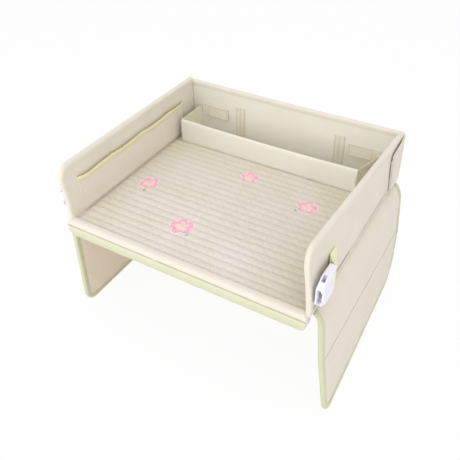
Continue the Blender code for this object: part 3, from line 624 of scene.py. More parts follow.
def corner_squeeze(first, second, edge_first, edge_second, radius, toward=(1, 1)):
    """Moves grid points in a corner's square into its quarter circle."""
    ahead = np.clip((radius - (edge_first - first) * toward[0]) / radius, 0, 1)
    above = np.clip((radius - (edge_second - second) * toward[1]) / radius, 0, 1)
    new_ahead = ahead * np.sqrt(1 - above ** 2 / 2)
    new_above = above * np.sqrt(1 - ahead ** 2 / 2)
    first = first + toward[0] * radius * (new_ahead - ahead)
    second = second + toward[1] * radius * (new_above - above)
    return first, second


def spread(low, high, step):
    return np.linspace(low, high, max(2, int(round(abs(high - low) / step)) + 1))


def cover(pattern, place, low, high, near, far, puff, seed, corners=(), step=6.0, creases=0.3, slack=None):
    """Cloth over one face of a board: tight at its rim, lightly crowned and creased between."""
    first, second = np.meshgrid(spread(low[0], high[0], step), spread(low[1], high[1], step))
    rim = np.minimum(np.minimum(first - low[0], high[0] - first),
                     np.minimum(second - low[1], high[1] - second))
    swell = np.sin(np.clip(rim / 16, 0, 1) * math.pi / 2)
    for edge_first, edge_second, radius, toward in corners:
        first, second = corner_squeeze(first, second, edge_first, edge_second, radius, toward)
    if slack:
        swell = swell * slack(second)
    soft = puff + creases * uneven(first, second, 70, seed)
    soft = soft + 0.35 * creases * uneven(first, second, 24, seed + 1)
    way = 1 if far(second).mean() > near(second).mean() else -1
    outer = far(second) + way * swell * np.maximum(soft, -0.3)
    pattern.shell(place(first, second, near(second) + 0.0 * first), place(first, second, outer))


def cut_sheet(low, high, corners=()):
    """Works out the size of a cloth cut to a rectangle with rounded corners, in millimetres, and keeps none
    of it.
    """
    width, length = high[0] - low[0], high[1] - low[1]
    lost = sum((1 - math.pi / 4) * corner[2] ** 2 for corner in corners)
    width * MM
    length * MM
    (width * length - lost) * MM ** 2


def steady(value):
    return lambda reach: np.full_like(reach, value)


def turned(points):
    """Unit normals on the left of a flat path."""
    runs = np.gradient(np.asarray(points, float), axis=0)
    runs /= np.linalg.norm(runs, axis=1)[:, None]
    return np.stack([-runs[:, 1], runs[:, 0]], 1)


def evenly(points, step):
    """A path's points at even steps along it."""
    points = np.asarray(points, float)
    lengths = np.concatenate([[0], np.cumsum(np.linalg.norm(np.diff(points, axis=0), axis=1))])
    count = max(2, int(round(lengths[-1] / step)) + 1)
    stops = np.linspace(0, lengths[-1], count)
    return np.stack([np.interp(stops, lengths, points[:, i]) for i in (0, 1)], 1), stops


def arc(centre, radius, start, end, steps=10):
    turns = np.radians(np.linspace(start, end, steps))
    return np.stack([centre[0] + radius * np.cos(turns), centre[1] + radius * np.sin(turns)], 1)


# The tape's section: distance in from the panel's edge, and height off the panel's middle as a
# distance below the tape's full half thickness
TAPE_SECTION = [(9.4, 0.30), (9.1, 0.05), (8.4, 0.0), (7.6, 0.32), (6.8, 0.0), (4.2, -0.05), (2.0, 0.1),
                (0.9, 0.75), (0.25, 1.8)]


def binding(pattern, path, place, half, seed, step=1.6):
    """Folded tape over a panel's edge; the panel is on the left of the path."""
    spots, stops = evenly(path, step)
    inward = turned(spots)
    reach = half(spots[:, 1])
    pucker = 0.10 * np.sin(stops * math.tau / STITCH_PITCH) + 0.08 * uneven(stops, 0 * stops, 17, seed)
    rings = []
    section = [(d, -1, drop) for d, drop in TAPE_SECTION] + [(0.0, 0, 0)]
    section += [(d, 1, drop) for d, drop in reversed(TAPE_SECTION)]
    section += [(9.3, 1, 0.75), (2.2, 1, 0.75), (2.2, -1, 0.75), (9.3, -1, 0.75)]
    for distance, way, drop in section:
        lift = way * (reach - drop + (pucker if drop < 0.7 else 0))
        off = spots + inward * distance
        rings.append(place(off[:, 0], off[:, 1], lift))
    pattern.tube(np.stack(rings, 1))


def stitch_row(pattern, path, place, inset, lift, pitch=STITCH_PITCH, length=2.3):
    """A row of stitches: small rounded grains of thread lying on the cloth."""
    spots, stops = evenly(path, pitch)
    inward = turned(spots)
    runs = np.stack([inward[:, 1], -inward[:, 0]], 1)
    centre = spots + inward * inset
    height = lift(spots[:, 1])
    for index in range(len(centre)):
        middle, run, side = centre[index], runs[index], inward[index]
        way = np.sign(height[index]) * 0.22
        ends = [middle - run * length / 2, middle + run * length / 2]
        rings = [ends[0], middle + side * 0.42, middle - side * 0.42, ends[1]]
        flat = np.array(rings + [middle, middle])
        lifts = np.full(6, height[index])
        lifts[4] += way
        lifts[5] -= way
        first = pattern.add(place(flat[:, 0], flat[:, 1], lifts))
        left, one, two, right, top, foot = range(first, first + 6)
        for a, b in ((left, one), (one, right), (right, two), (two, left)):
            pattern.faces += [(a, b, top), (b, a, foot)]


def sew_tape(sewing, path, place, lift):
    """Stitches along an edge tape, on both faces of its panel."""
    for way in (-1, 1):
        stitch_row(sewing, path, place, STITCH_IN, lambda reach, way=way: way * lift(reach))


def stiffener(body, place, low, high, corners, step=8):
    board = Pattern()
    cover(board, place, low, high, steady(-BOARD_HALF), steady(BOARD_HALF), 0, 3, corners, step, 0)
    piece(body + "_stiffener", board, BOARD, body, [body + "_board"], "panel_board")


def covering(name, node, body, place, low, high, near, far, puff, seed, corners=(), finish=CREAM,
             slot="cream_fabric", **how):
    """A panel's cover over its board, with the sizes of the sheet that it is cut from worked out and not
    kept.
    """
    cloth = Pattern()
    cover(cloth, place, low, high, near, far, puff, seed, corners, **how)
    made = piece(name, cloth, finish, body, [node], slot)
    cut_sheet(low, high, corners)


# Cloth that settles

def finer(rows):
    """The same sheet with a smooth point between each two."""
    for _ in range(2):
        padded = np.concatenate([rows[:1] * 2 - rows[1:2], rows, rows[-1:] * 2 - rows[-2:-1]])
        between = (-padded[:-3] + 9 * padded[1:-2] + 9 * padded[2:-1] - padded[3:]) / 16
        woven = np.empty((2 * len(rows) - 1, *rows.shape[1:]))
        woven[::2], woven[1::2] = rows, between
        rows = woven.transpose(1, 0, 2)
    return rows


def settle(rows, pins, pressure, grow, reach, frames=20):
    """Cloth held at its pins, grown a little and blown up: it puffs and creases between them."""
    pattern = Pattern()
    pattern.grid(rows)
    mesh = bpy.data.meshes.new("settling cloth")
    mesh.from_pydata((np.concatenate(pattern.points) * MM).tolist(), [], pattern.faces)
    sheet = bpy.data.objects.new("settling cloth", mesh)
    bpy.context.scene.collection.objects.link(sheet)
    group = sheet.vertex_groups.new(name="pins")
    for weight in np.unique(pins):
        if weight > 0:
            group.add(np.flatnonzero(pins.ravel() == weight).tolist(), float(weight), "REPLACE")
    cloth = sheet.modifiers.new("settling", "CLOTH")
    cloth.settings.vertex_group_mass = "pins"
    cloth.settings.quality = 5
    cloth.settings.mass = 0.15
    cloth.settings.tension_stiffness = 15
    cloth.settings.compression_stiffness = 8
    cloth.settings.bending_stiffness = 0.05
    cloth.settings.use_pressure = True
    cloth.settings.uniform_pressure_force = pressure
    cloth.settings.shrink_min = -grow
    cloth.settings.effector_weights.gravity = 0
    cloth.collision_settings.use_collision = False
    cloth.point_cache.frame_start = 1
    cloth.point_cache.frame_end = frames
    for step in range(1, frames + 1):
        bpy.context.scene.frame_set(step)
    held = sheet.evaluated_get(bpy.context.evaluated_depsgraph_get())
    flat = np.empty(len(mesh.vertices) * 3)
    held.data.vertices.foreach_get("co", flat)
    bpy.data.objects.remove(sheet)
    bpy.context.scene.frame_set(1)
    moved = flat.reshape(rows.shape) / MM - rows
    length = np.maximum(np.linalg.norm(moved, axis=-1, keepdims=True), 1e-9)
    return rows + moved / length * reach * np.tanh(length / reach)


# Pieces

def make_wall(side):
    place = wall_place(side)
    body = side + "_wall"
    top = WALL_HEIGHT - EDGE_MARGIN
    corner = [(EDGE_MARGIN, top, WALL_CORNER, (-1, 1))]
    board_low, board_high = WALL_BOARD
    stiffener(body, place, board_low, board_high, [(board_low[0], board_high[1], WALL_CORNER, (-1, 1))])
    covering(body + "_lining_cloth", body + "_inner_cover", body, place, (EDGE_MARGIN, WALL_FOOT),
             (WALL_REAR, top), steady(-COVER_IN), steady(-PANEL_HALF), 0.35, 11, corner)
    covering(body + "_face_cloth", body + "_outer_cover", body, place, (EDGE_MARGIN, -0.6),
             (WALL_REAR, top), steady(COVER_IN), steady(PANEL_HALF), 0.45, 12, corner, creases=0.5)
    grown = WALL_CORNER + EDGE_MARGIN
    path = np.concatenate([[(0, WALL_FOOT)], arc((grown, WALL_HEIGHT - grown), grown, 180, 90),
                           [(WALL_REAR, WALL_HEIGHT)]])[::-1]
    tape, sewing = Pattern(), Pattern()
    binding(tape, path, place, steady(EDGE_HALF), 21)
    piece(body + "_binding", tape, TAPE, body, [body + "_edge_tape"], "cream_tape", 50)
    sew_tape(sewing, path, place, steady(EDGE_HALF - 0.25))
    piece(body + "_stitching", sewing, THREAD, body, (), "cream_tape")


def make_back_wall():
    body = "back_wall"
    top = WALL_HEIGHT - EDGE_MARGIN
    board_low, board_high = BACK_BOARD
    stiffener(body, back_place, board_low, board_high,
              [(board_low[0], board_high[1], BACK_CORNER, (-1, 1)), (*board_high, BACK_CORNER, (1, 1))])
    corners = [(-BACK_HALF, top, BACK_CORNER, (-1, 1)), (BACK_HALF, top, BACK_CORNER, (1, 1))]
    low, high = (-BACK_HALF, WALL_FOOT), (BACK_HALF, top)
    covering("back_wall_lining_cloth", "back_wall_inner_cover", body, back_place, low, high,
             steady(-COVER_IN), steady(-PANEL_HALF), 0.3, 31, corners, PALE)
    covering("back_wall_face_cloth", "back_wall_outer_cover", body, back_place, low, high,
             steady(COVER_IN), steady(PANEL_HALF), 0.4, 32, corners, creases=0.5)
    middle, head = BACK_HALF - BACK_CORNER, WALL_HEIGHT - BACK_CORNER
    path = np.concatenate([[(BACK_HALF, head - 0.5)], arc((middle, head), BACK_CORNER, 0, 90, 8),
                           arc((-middle, head), BACK_CORNER, 90, 180, 8), [(-BACK_HALF, head - 0.5)]])
    tape, sewing = Pattern(), Pattern()
    binding(tape, path, back_place, steady(EDGE_HALF), 33)
    piece("back_wall_binding", tape, TAPE, body, ["back_wall_edge_tape"], "cream_tape", 50)
    path = np.array([(middle - 2, WALL_HEIGHT), (2 - middle, WALL_HEIGHT)])
    sew_tape(sewing, path, back_place, steady(EDGE_HALF - 0.25))
    piece("back_wall_stitching", sewing, THREAD, body, (), "cream_tape")


def quilt_top():
    """Rows of the quilt's upper face: a soft crown in each channel, gathered along its seams."""
    across = spread(-QUILT_HALF, QUILT_HALF, 3.0)
    along = np.linspace(QUILT_FRONT, QUILT_REAR, CHANNELS * CHANNEL_ROWS + 1)
    x, y = np.meshgrid(across, along)
    phase = (y - QUILT_FRONT) / (QUILT_REAR - QUILT_FRONT) * CHANNELS
    crown = np.abs(np.sin(math.pi * phase)) ** 0.7
    fade = np.sin(np.clip((QUILT_HALF - np.abs(x)) / 11, 0, 1) * math.pi / 2)
    pucker = uneven(x * 1.0, y * 0.35, 9, 41) * (1 - crown) * 0.5
    z = (2.25 * crown + 0.25 * uneven(x, y, 40, 42) * crown + 0.35 * pucker) * fade - 1.2 * (1 - fade)
    return np.stack([x, y, z], -1)


def quilt_pins():
    """Weights of the sewn lines and of the mat's rim."""
    columns = len(spread(-QUILT_HALF, QUILT_HALF, 3.0))
    pins = np.zeros((CHANNELS * CHANNEL_ROWS + 1, columns))
    pins[::CHANNEL_ROWS] = 1
    pins[:, :1] = pins[:, -1:] = 1
    return pins


def make_quilt():
    top = finer(settle(quilt_top(), quilt_pins(), 3, 0.010, 1.1))
    foot = top.copy()
    foot[..., 2] = QUILT_FOOT
    quilt = Pattern()
    quilt.shell(top, foot)
    made = piece("quilted_tray_mat", quilt, QUILTED, "base", ["tray_quilt"], "quilt_fabric", 60)


def make_base():
    pad = Pattern()
    half = QUILT_HALF - 0.6
    x, y = np.meshgrid(spread(-half, half, 3), spread(PAD_FRONT, BASE_REAR, 3))
    rim = np.clip(np.minimum(half - np.abs(x), BASE_REAR - y) / 9, 0, 1)
    height = -0.9 + 0.25 * uneven(x, y, 60, 51) - 1.5 * (1 - np.sqrt(1 - (1 - rim) ** 2))
    pad.shell(np.stack([x, y, height], -1), np.stack([x, y, np.full_like(x, QUILT_FOOT)], -1))
    made = piece("trough_floor_mat", pad, CREAM, "base", ["trough_floor_pad"], "cream_fabric")
    lining = Pattern()
    x, y = np.meshgrid(spread(-BASE_HALF, BASE_HALF, 7), spread(QUILT_FRONT, BASE_REAR, 7))
    rim = np.minimum(BASE_HALF - np.abs(x), np.minimum(y - QUILT_FRONT, BASE_REAR - y))
    swell = np.sin(np.clip(rim / 16, 0, 1) * math.pi / 2)
    head, foot = BASE_UNDERSIDE
    upper = np.stack([x, y, np.full_like(x, head)], -1)
    lower = np.stack([x, y, foot - swell * (0.25 + 0.25 * uneven(x, y, 80, 52))], -1)
    lining.shell(upper, lower)
    made = piece("underside_lining", lining, LINING, "base", ["base_underside_cover"], "beige_lining")
    cut_sheet((-BASE_HALF, QUILT_FRONT), (BASE_HALF, BASE_REAR))
    edging = Pattern()
    x, z = np.meshgrid(spread(-BASE_HALF, BASE_HALF, 7), spread(-10.6, -1.1, 1.2))
    soft = 0.12 * uneven(x, z, 18, 53)
    near, far = BASE_EDGING
    edging.shell(np.stack([x, np.full_like(x, near), z], -1), np.stack([x, far + soft, z], -1))
    piece("base_rear_edging", edging, TAPE, "base", (), "cream_tape")


# Sections of the cloth hinges: outward of the wall's outer face, and up from the tray surface
HINGE_SECTION = [(-6.3, -0.7), (-5.4, -0.05), (-4.4, 0.12), (-2.4, 0.12), (-1.5, -0.45), (-0.7, -0.78),
                 (0.2, -0.72), (0.65, -0.2), (0.78, 0.8), (0.8, 3.5), (0.8, 8.0)]


def make_foot_hinge(name, body, place, low, high):
    """Cloth hinge between the base and a wall's foot, over the slit between them; it is fixed in place and
    does not follow the wall.
    """
    section, _ = evenly(HINGE_SECTION, 0.9)
    normals = turned(section)
    stops = spread(low, high, 10)
    where, run = np.meshgrid(np.arange(len(section)), stops)
    sheets = [place(run, section[where] + normals[where] * off) for off in (-0.1, 0.1)]
    cloth = Pattern()
    cloth.shell(*sheets)
    ends = [place(np.array([(low + high) / 2]), np.array([spot]))[0] for spot in ((-0.1, -0.8), (0.9, 0.9))]
    start, end = [tuple(TRAY + Vector(spot) * MM) for spot in ends]
    made = piece(name, cloth, CREAM, ("base", body, start, end), (), "cream_fabric")
    cut_sheet((0, 0), (high - low, 16.2))


def make_foot_hinges():
    for side, sign in SIDES.items():
        make_foot_hinge(side + "_foot_hinge", side + "_wall",
                        lambda run, spot, sign=sign: np.stack(
                            [sign * (HALF_WIDTH + spot[..., 0]), run, spot[..., 1]], -1), 4, 344)
    make_foot_hinge("back_foot_hinge", "back_wall",
                    lambda run, spot: np.stack([run, 352.0 + spot[..., 0], spot[..., 1]], -1), -193, 193)


def lip_ring(grow=0.0):
    """Section of the padded lip, from its back foot round under, up its face and over."""
    back, front, foot, head, radius = LIP_SECTION
    low, high, foot, head = back - grow, front + grow, foot - grow, head + grow
    corners = [((high - radius, foot + radius), 0, -90), ((low + radius, foot + radius), -90, -180),
               ((low + radius, head - radius), 180, 90), ((high - radius, head - radius), 90, 0)]
    return np.concatenate([arc(centre, radius, start, end, 7) for centre, start, end in corners])


def lip_stops():
    """Places along the lip, closer at its ends, each with the share of its section left there."""
    near_end = LIP_HALF - LIP_ROUNDING
    across = np.concatenate([spread(-LIP_HALF, -near_end, 1.5), spread(3 - near_end, near_end - 3, 3),
                             spread(near_end, LIP_HALF, 1.5)])
    for x in across:
        end = np.clip((LIP_HALF - abs(x)) / LIP_ROUNDING, 0, 1)
        yield x, math.sqrt(1 - (1 - end) ** 2)


def make_lip():
    ring = lip_ring()
    rows = []
    for x, shrink in lip_stops():
        y, z = ring[:, 0].copy(), ring[:, 1].copy()
        z = np.where(z < -13, -13 + (z + 13) * (0.15 + 0.85 * shrink), z)
        z = np.where(z > -1.5, -1.5 + (z + 1.5) * (0.35 + 0.65 * shrink), z)
        soft = 0.35 * uneven(np.full_like(y, x), z + y, 26, 61)
        out = np.array([y - 1.5, z + 10])
        out = out / np.linalg.norm(out, axis=0)
        seam = 0.7 * np.exp(-((z + 5.5) / 1.6) ** 2)
        bulge = 0.5 * np.clip((z + 5) / 6, 0, 1) + soft - seam * (y < 0)
        rise = out[1] * np.minimum(bulge, 0.6)
        rows.append(np.stack([np.full_like(y, x), y + out[0] * bulge, z + rise], -1))
    pad = Pattern()
    pad.tube(rows)
    piece("padded_lip", pad, LIP, "base", ["front_lip_pad"], "lip_fabric", 60)


def lip_band_path():
    ring = lip_ring(0.5)
    return np.concatenate([[(9.5, -14)], ring[ring[:, 1] < -14], [(-6.5, -14), (-6.5, -3)]])


def make_lip_band():
    ring, _ = evenly(lip_band_path(), 1.5)
    normals = -turned(ring)
    outer, inner = [], []
    for x, shrink in lip_stops():
        y, z = ring[:, 0], ring[:, 1]
        low = np.where(z < -13, -13 + (z + 13) * (0.15 + 0.85 * shrink), z)
        wave = 0.18 * uneven(np.full_like(y, x), z + y, 22, 63)
        for store, off in ((outer, 0.75), (inner, 0.05)):
            store.append(np.stack([np.full_like(y, x), y + normals[:, 0] * (off + wave),
                                   low + normals[:, 1] * (off + wave)], -1))
    band = Pattern()
    band.shell(np.array(outer), np.array(inner))
    piece("lip_green_band", band, LIP_BAND, "base", ["front_lip_binding"], "green_tape", 60, True)


def make_trough():
    low, high = TROUGH_ENDS
    section = [(-2.7, 0), (-2.75, 6), (-3.0, 14), (-3.1, 24), (-3.0, 34), (-2.7, 40), (-2.2, 42.2),
               (-1.2, 43.2), (0, 43.5), (1.2, 43.2), (2.2, 42.2), (2.7, 40), (2.8, 30), (2.8, 15), (2.7, 0),
               (1.8, 0), (1.8, 41), (-1.8, 41), (-1.8, 0)]
    rings = []
    for x in spread(low, high, 6):
        out = np.array([p[0] for p in section])
        up = np.array([p[1] for p in section], float)
        soft = 0.25 * uneven(np.full_like(out, x), up, 45, 71)
        out = out + np.sign(out) * soft * (np.abs(out) > 2.5)
        rings.append(trough_place(np.full_like(out, x), up, out))
    cloth = Pattern()
    cloth.tube(rings)
    made = piece("trough_front_cloth", cloth, PALE, "trough_front", ["trough_front_cover"], "cream_fabric")
    cut_sheet((0, 0), (high - low, 2 * TROUGH_HEIGHT + 3))
    board = Pattern()
    x, up = np.meshgrid(spread(low + 1, high - 1, 8), spread(0.2, 40.6, 10))
    board.shell(*[trough_place(x, up, np.full_like(x, way * BOARD_HALF)) for way in (-1, 1)])
    piece("trough_front_stiffener", board, BOARD, "trough_front", ["trough_front_board"], "panel_board")
    for side, path in TROUGH_END_PATHS.items():
        make_trough_end(side, path)


# Foot lines of the trough's loose ends, from the front panel to the back wall
TROUGH_END_PATHS = {
    "left": [(-179.85, 280.3), (-179.95, 286.0), (-180.4, 318.0), (-179.7, 334.0), (-176.5, 346.3)],
    "right": [(153.45, 280.3), (153.45, 286.0), (171.0, 346.3)],
}


def make_trough_end(side, path):
    spots, stops = evenly(path, 3)
    normals = turned(spots)
    where, up = np.meshgrid(np.arange(len(spots)), spread(0, TROUGH_HEIGHT, 3.5))
    middle = np.sin(math.pi * stops[where] / stops[-1])
    bow = 1.1 * middle * np.sin(math.pi * up / TROUGH_HEIGHT)
    bow = bow if side == "left" else 0.7 * bow
    sag = 1.2 * middle * (up / TROUGH_HEIGHT) ** 2
    flat = spots[where]
    lean = normals[where] * (bow + 0.2 * uneven(stops[where], up, 25, 73))[..., None]
    end = Pattern()
    end.shell(*[np.concatenate([flat + lean + normals[where] * off, (up - sag)[..., None]], -1)
                for off in (-0.45, 0.45)])
    # END is the cream cloth yellowed with painted shade
    made = piece(side + "_trough_end_cloth", end, END, "base", [side + "_trough_end"], "cream_fabric")
    cut_sheet((0, 0), (stops[-1], TROUGH_HEIGHT))
    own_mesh(made)


def make_leg(side):
    place = leg_place(side)
    fold, foot = leg_sizes(side)
    panel_front, panel_rear, panel_foot = LEG_FRONT + EDGE_MARGIN, LEG_REAR - EDGE_MARGIN, foot - EDGE_MARGIN
    upper, lower = side + "_leg_upper", side + "_leg_lower"
    front_round, rear_round = LEG_CORNERS["front"], LEG_CORNERS["rear"]

    def skin(reach):
        return leg_half(reach) - 0.9

    def past_bend(reach):
        return np.clip((reach - 0.8 * BEND_END) / 15, 0, 1)

    def tape_half(reach):
        return leg_half(reach) + 1.0

    def stitch_lift(reach):
        return leg_half(reach) + 0.75

    faces = {
        "outer": (skin, leg_half, CREAM, "cream_fabric", GROOVE),
        "inner": (lambda reach: -skin(reach), lambda reach: -leg_half(reach), LINING, "beige_lining", SLIT),
    }
    corners = [(panel_front, panel_foot, front_round, (-1, 1)), (panel_rear, panel_foot, rear_round, (1, 1))]
    for face, (near, far, finish, slot, groove) in faces.items():
        covering(f"{upper}_{face}_cloth", f"{upper}_{face}_cover", upper, place, (panel_front, -LEG_TAIL),
                 (panel_rear, fold - groove), near, far, 0.35, 81, (), finish, slot, step=4.5,
                 slack=past_bend)
        covering(f"{lower}_{face}_cloth", f"{lower}_{face}_cover", lower, place, (panel_front, fold + groove),
                 (panel_rear, panel_foot), near, far, 0.3, 82, corners, finish, slot, step=4.5)
    inset = 0.9
    front, rear, low = panel_front + inset, panel_rear - inset, panel_foot - inset
    stiffener(upper, place, (front, BEND_END + 2), (rear, fold - inset), (), 9)
    stiffener(lower, place, (front, fold + inset), (rear, low),
              ((front, low, front_round, (-1, 1)), (rear, low, rear_round, (1, 1))), 9)
    sewing = Pattern()
    for end, along in (("front", LEG_FRONT), ("rear", LEG_REAR)):
        tape = Pattern()
        line = [(along, LEG_TAPE_START), (along, fold - SLIT)]
        path = line if end == "rear" else line[::-1]
        binding(tape, path, place, tape_half, 83)
        piece(f"{upper}_{end}_binding", tape, GREEN, upper, [f"{upper}_{end}_tape"], "green_tape", 50)
        sew_tape(sewing, path, place, stitch_lift)
    piece(upper + "_stitching", sewing, THREAD, upper, (), "cream_tape")
    ahead, behind = front_round + EDGE_MARGIN, rear_round + EDGE_MARGIN
    path = np.concatenate([[(LEG_FRONT, fold + SLIT)],
                           arc((LEG_FRONT + ahead, foot - ahead), ahead, 180, 90, 14),
                           arc((LEG_REAR - behind, foot - behind), behind, 90, 0, 14),
                           [(LEG_REAR, fold + SLIT)]])[::-1]
    tape, sewing = Pattern(), Pattern()
    binding(tape, path, place, tape_half, 84)
    piece(lower + "_binding", tape, GREEN, lower, [lower + "_tape"], "green_tape", 50)
    sew_tape(sewing, path, place, stitch_lift)
    piece(lower + "_stitching", sewing, THREAD, lower, (), "cream_tape")


# Pocket, patches, flaps, tabs and buckles

POCKET_FRONT, POCKET_REAR = 30.0, 306.0
POCKET_FOOT, POCKET_RIM, POCKET_TOP = 4.0, 55.5, 62.0
NET_PITCH, NET_STRAND = 3.6, 0.36
# Where the flaps' and tabs' hinge lines stand, and how far their cloth reaches
FLAP_HINGE = (349.3, 5.8)
FLAP_FOOT, FLAP_HEAD = 5.0, 83.0
TAB_HINGES = {"left": -175.0, "right": 169.5}
TAB_LENGTH = 56
TAB_FOOT, TAB_HEAD = 26, 48
STRIPS = {"left": (-103.0, -84.0), "right": (88.0, 107.0)}
# The buckle's bar along, up and out of the wall, and how much the buckle leans out as it rises
BAR = (46.8, 36.0, 9.5)
BUCKLE_TILT = {"left": 0.03, "right": -0.02}
# The buckle's open front and its keyhole, along from the bar; half its thickness and half its slot
BUCKLE_FRONT, KEYHOLE = -42.5, -12.5
BUCKLE_HALF, BUCKLE_SLOT = 5.0, 19.8
# Half the webbing's width, and where its sewn end lies along the wall
WEBBING_HALF, WEBBING_END = 19, 77


def pocket_face(along, up):
    """Outward place of the pocket's cloth: sewn down at its foot and ends, slack between."""
    ends = np.sin(np.clip(np.minimum(along - POCKET_FRONT, POCKET_REAR - along) / 13, 0, 1) * math.pi / 2)
    foot = np.sin(np.clip((up - POCKET_FOOT) / 15, 0, 1) * math.pi / 2)
    slack = 4.2 + 0.6 * uneven(along, up, 66, 91)
    gather = 0.35 * uneven(along, 0 * up, 6.5, 92) * np.clip((up - 38) / 16, 0, 1)
    return -3.3 - (slack * foot + gather) * ends


def band(pattern, path, place, low, high, near, far, step=2.0):
    """Flat band beside a path, from low to high on its left and from near to far off the panel."""
    spots, _ = evenly(path, step)
    left = turned(spots)
    soft = 0.3 * (far - near)
    section = [(low, near), (low, far - soft), (low + 0.4, far),
               (high - 0.4, far), (high, far - soft), (high, near)]
    rings = [place(spots[:, 0] + left[:, 0] * distance, spots[:, 1] + left[:, 1] * distance,
                   np.full(len(spots), out)) for distance, out in section]
    pattern.tube(np.stack(rings, 1))


def make_net(side, place):
    """Open net: two sets of slanted strands that pass over and under each other."""
    net = Pattern()
    rise = POCKET_RIM + 2.5 - POCKET_FOOT
    up = np.arange(0, rise, NET_PITCH / 2) + POCKET_FOOT
    for way in (1, -1):
        for start in np.arange(POCKET_FRONT - rise, POCKET_REAR + rise, NET_PITCH):
            along = start + way * (up - POCKET_FOOT)
            inside = (along > POCKET_FRONT + 0.4) & (along < POCKET_REAR - 0.4)
            if inside.sum() < 4:
                continue
            run, height = along[inside], up[inside]
            weaving = 0.16 * way * np.cos(math.tau * (height - POCKET_FOOT) / NET_PITCH)
            lift = pocket_face(run, height) + weaving
            half = NET_STRAND
            ring = [place(run + half, height - way * half, lift), place(run, height, lift - 0.2),
                    place(run - half, height + way * half, lift), place(run, height, lift + 0.2)]
            net.tube(np.stack(ring, 1))
    made = piece(side + "_pocket_mesh", net, NET, side + "_wall", [side + "_pocket_net"], "mesh_fabric", 80)
    cut_sheet((POCKET_FRONT, 0), (POCKET_REAR, rise))


def make_pocket(side):
    place = wall_place(side)
    body = side + "_wall"
    make_net(side, place)
    along = spread(POCKET_FRONT, POCKET_REAR, 1.3)
    middle = pocket_face(along, 57 + 0 * along) - 0.7
    loose = np.sin(np.clip(np.minimum(along - POCKET_FRONT, POCKET_REAR - along) / 25, 0, 1) * math.pi / 2)
    wave = loose * (0.9 * np.sin(along * math.tau / 83 + 0.6) + 0.35 * np.sin(along * math.tau / 37 + 2))
    foot = POCKET_RIM + wave
    top = POCKET_TOP + wave + 0.4 * uneven(along, 0 * along, 8, 94)
    swell = (foot + top) / 2
    ups = [foot, foot + 0.4, swell, top - 0.5, top, top - 0.5, swell, foot + 0.4]
    outs = [0, -0.55, -0.85, -0.55, 0, 0.55, 0.6, 0.55]
    rim = Pattern()
    rim.tube(np.stack([place(along, up, middle + out) for up, out in zip(ups, outs)], 1))
    piece(side + "_pocket_rim", rim, ELASTIC, body, [side + "_pocket_elastic"], "pale_elastic", 60, True)
    # Dark olive cord along the elastic's top edge: painted shade of the gap between the elastic and the wall
    cord = Pattern()
    turns = np.linspace(0, math.tau, 7)[:-1]
    cord.tube(np.stack([place(along, top + 0.3 + 0.55 * math.sin(t), middle + 0.2 + 0.55 * math.cos(t))
                        for t in turns], 1))
    piece(side + "_pocket_rim_shade_line", cord, RIM_SHADE_LINE, body, (), "pale_elastic", 60)
    hem, sewing = Pattern(), Pattern()
    corner = 5.0
    level = 2.6 + corner
    path = np.concatenate([[(POCKET_FRONT, 61)], arc((POCKET_FRONT + corner, level), corner, 180, 270, 8),
                           arc((POCKET_REAR - corner, level), corner, 270, 360, 8), [(POCKET_REAR, 61)]])
    band(hem, path, place, -0.6, 3.4, -2.85, -4.1)
    piece(side + "_pocket_hem", hem, TAPE, body, (), "cream_tape", 60)
    stitch_row(sewing, path, place, 1.6, steady(-4.15))
    piece(side + "_pocket_stitching", sewing, THREAD, body, (), "cream_tape")
    patch = Pattern()
    cover(patch, place, (305.3, 12), (333.3, 66), steady(3.0), steady(3.8), 0.05, 95, (), 2, 0.15)
    piece(side + "_wall_loop_fabric", patch, HOOK, body, [side + "_wall_loop_patch"], "hook_tape")


def flap_reach(up):
    """How far the flap comes forward of its hinge at that height."""
    straight = 46 + 9 * (up - FLAP_FOOT) / 69
    slant = 55 - 41 * (up - 74) / 9
    return -2.0 * np.log(np.exp(-straight / 2.0) + np.exp(-slant / 2.0))


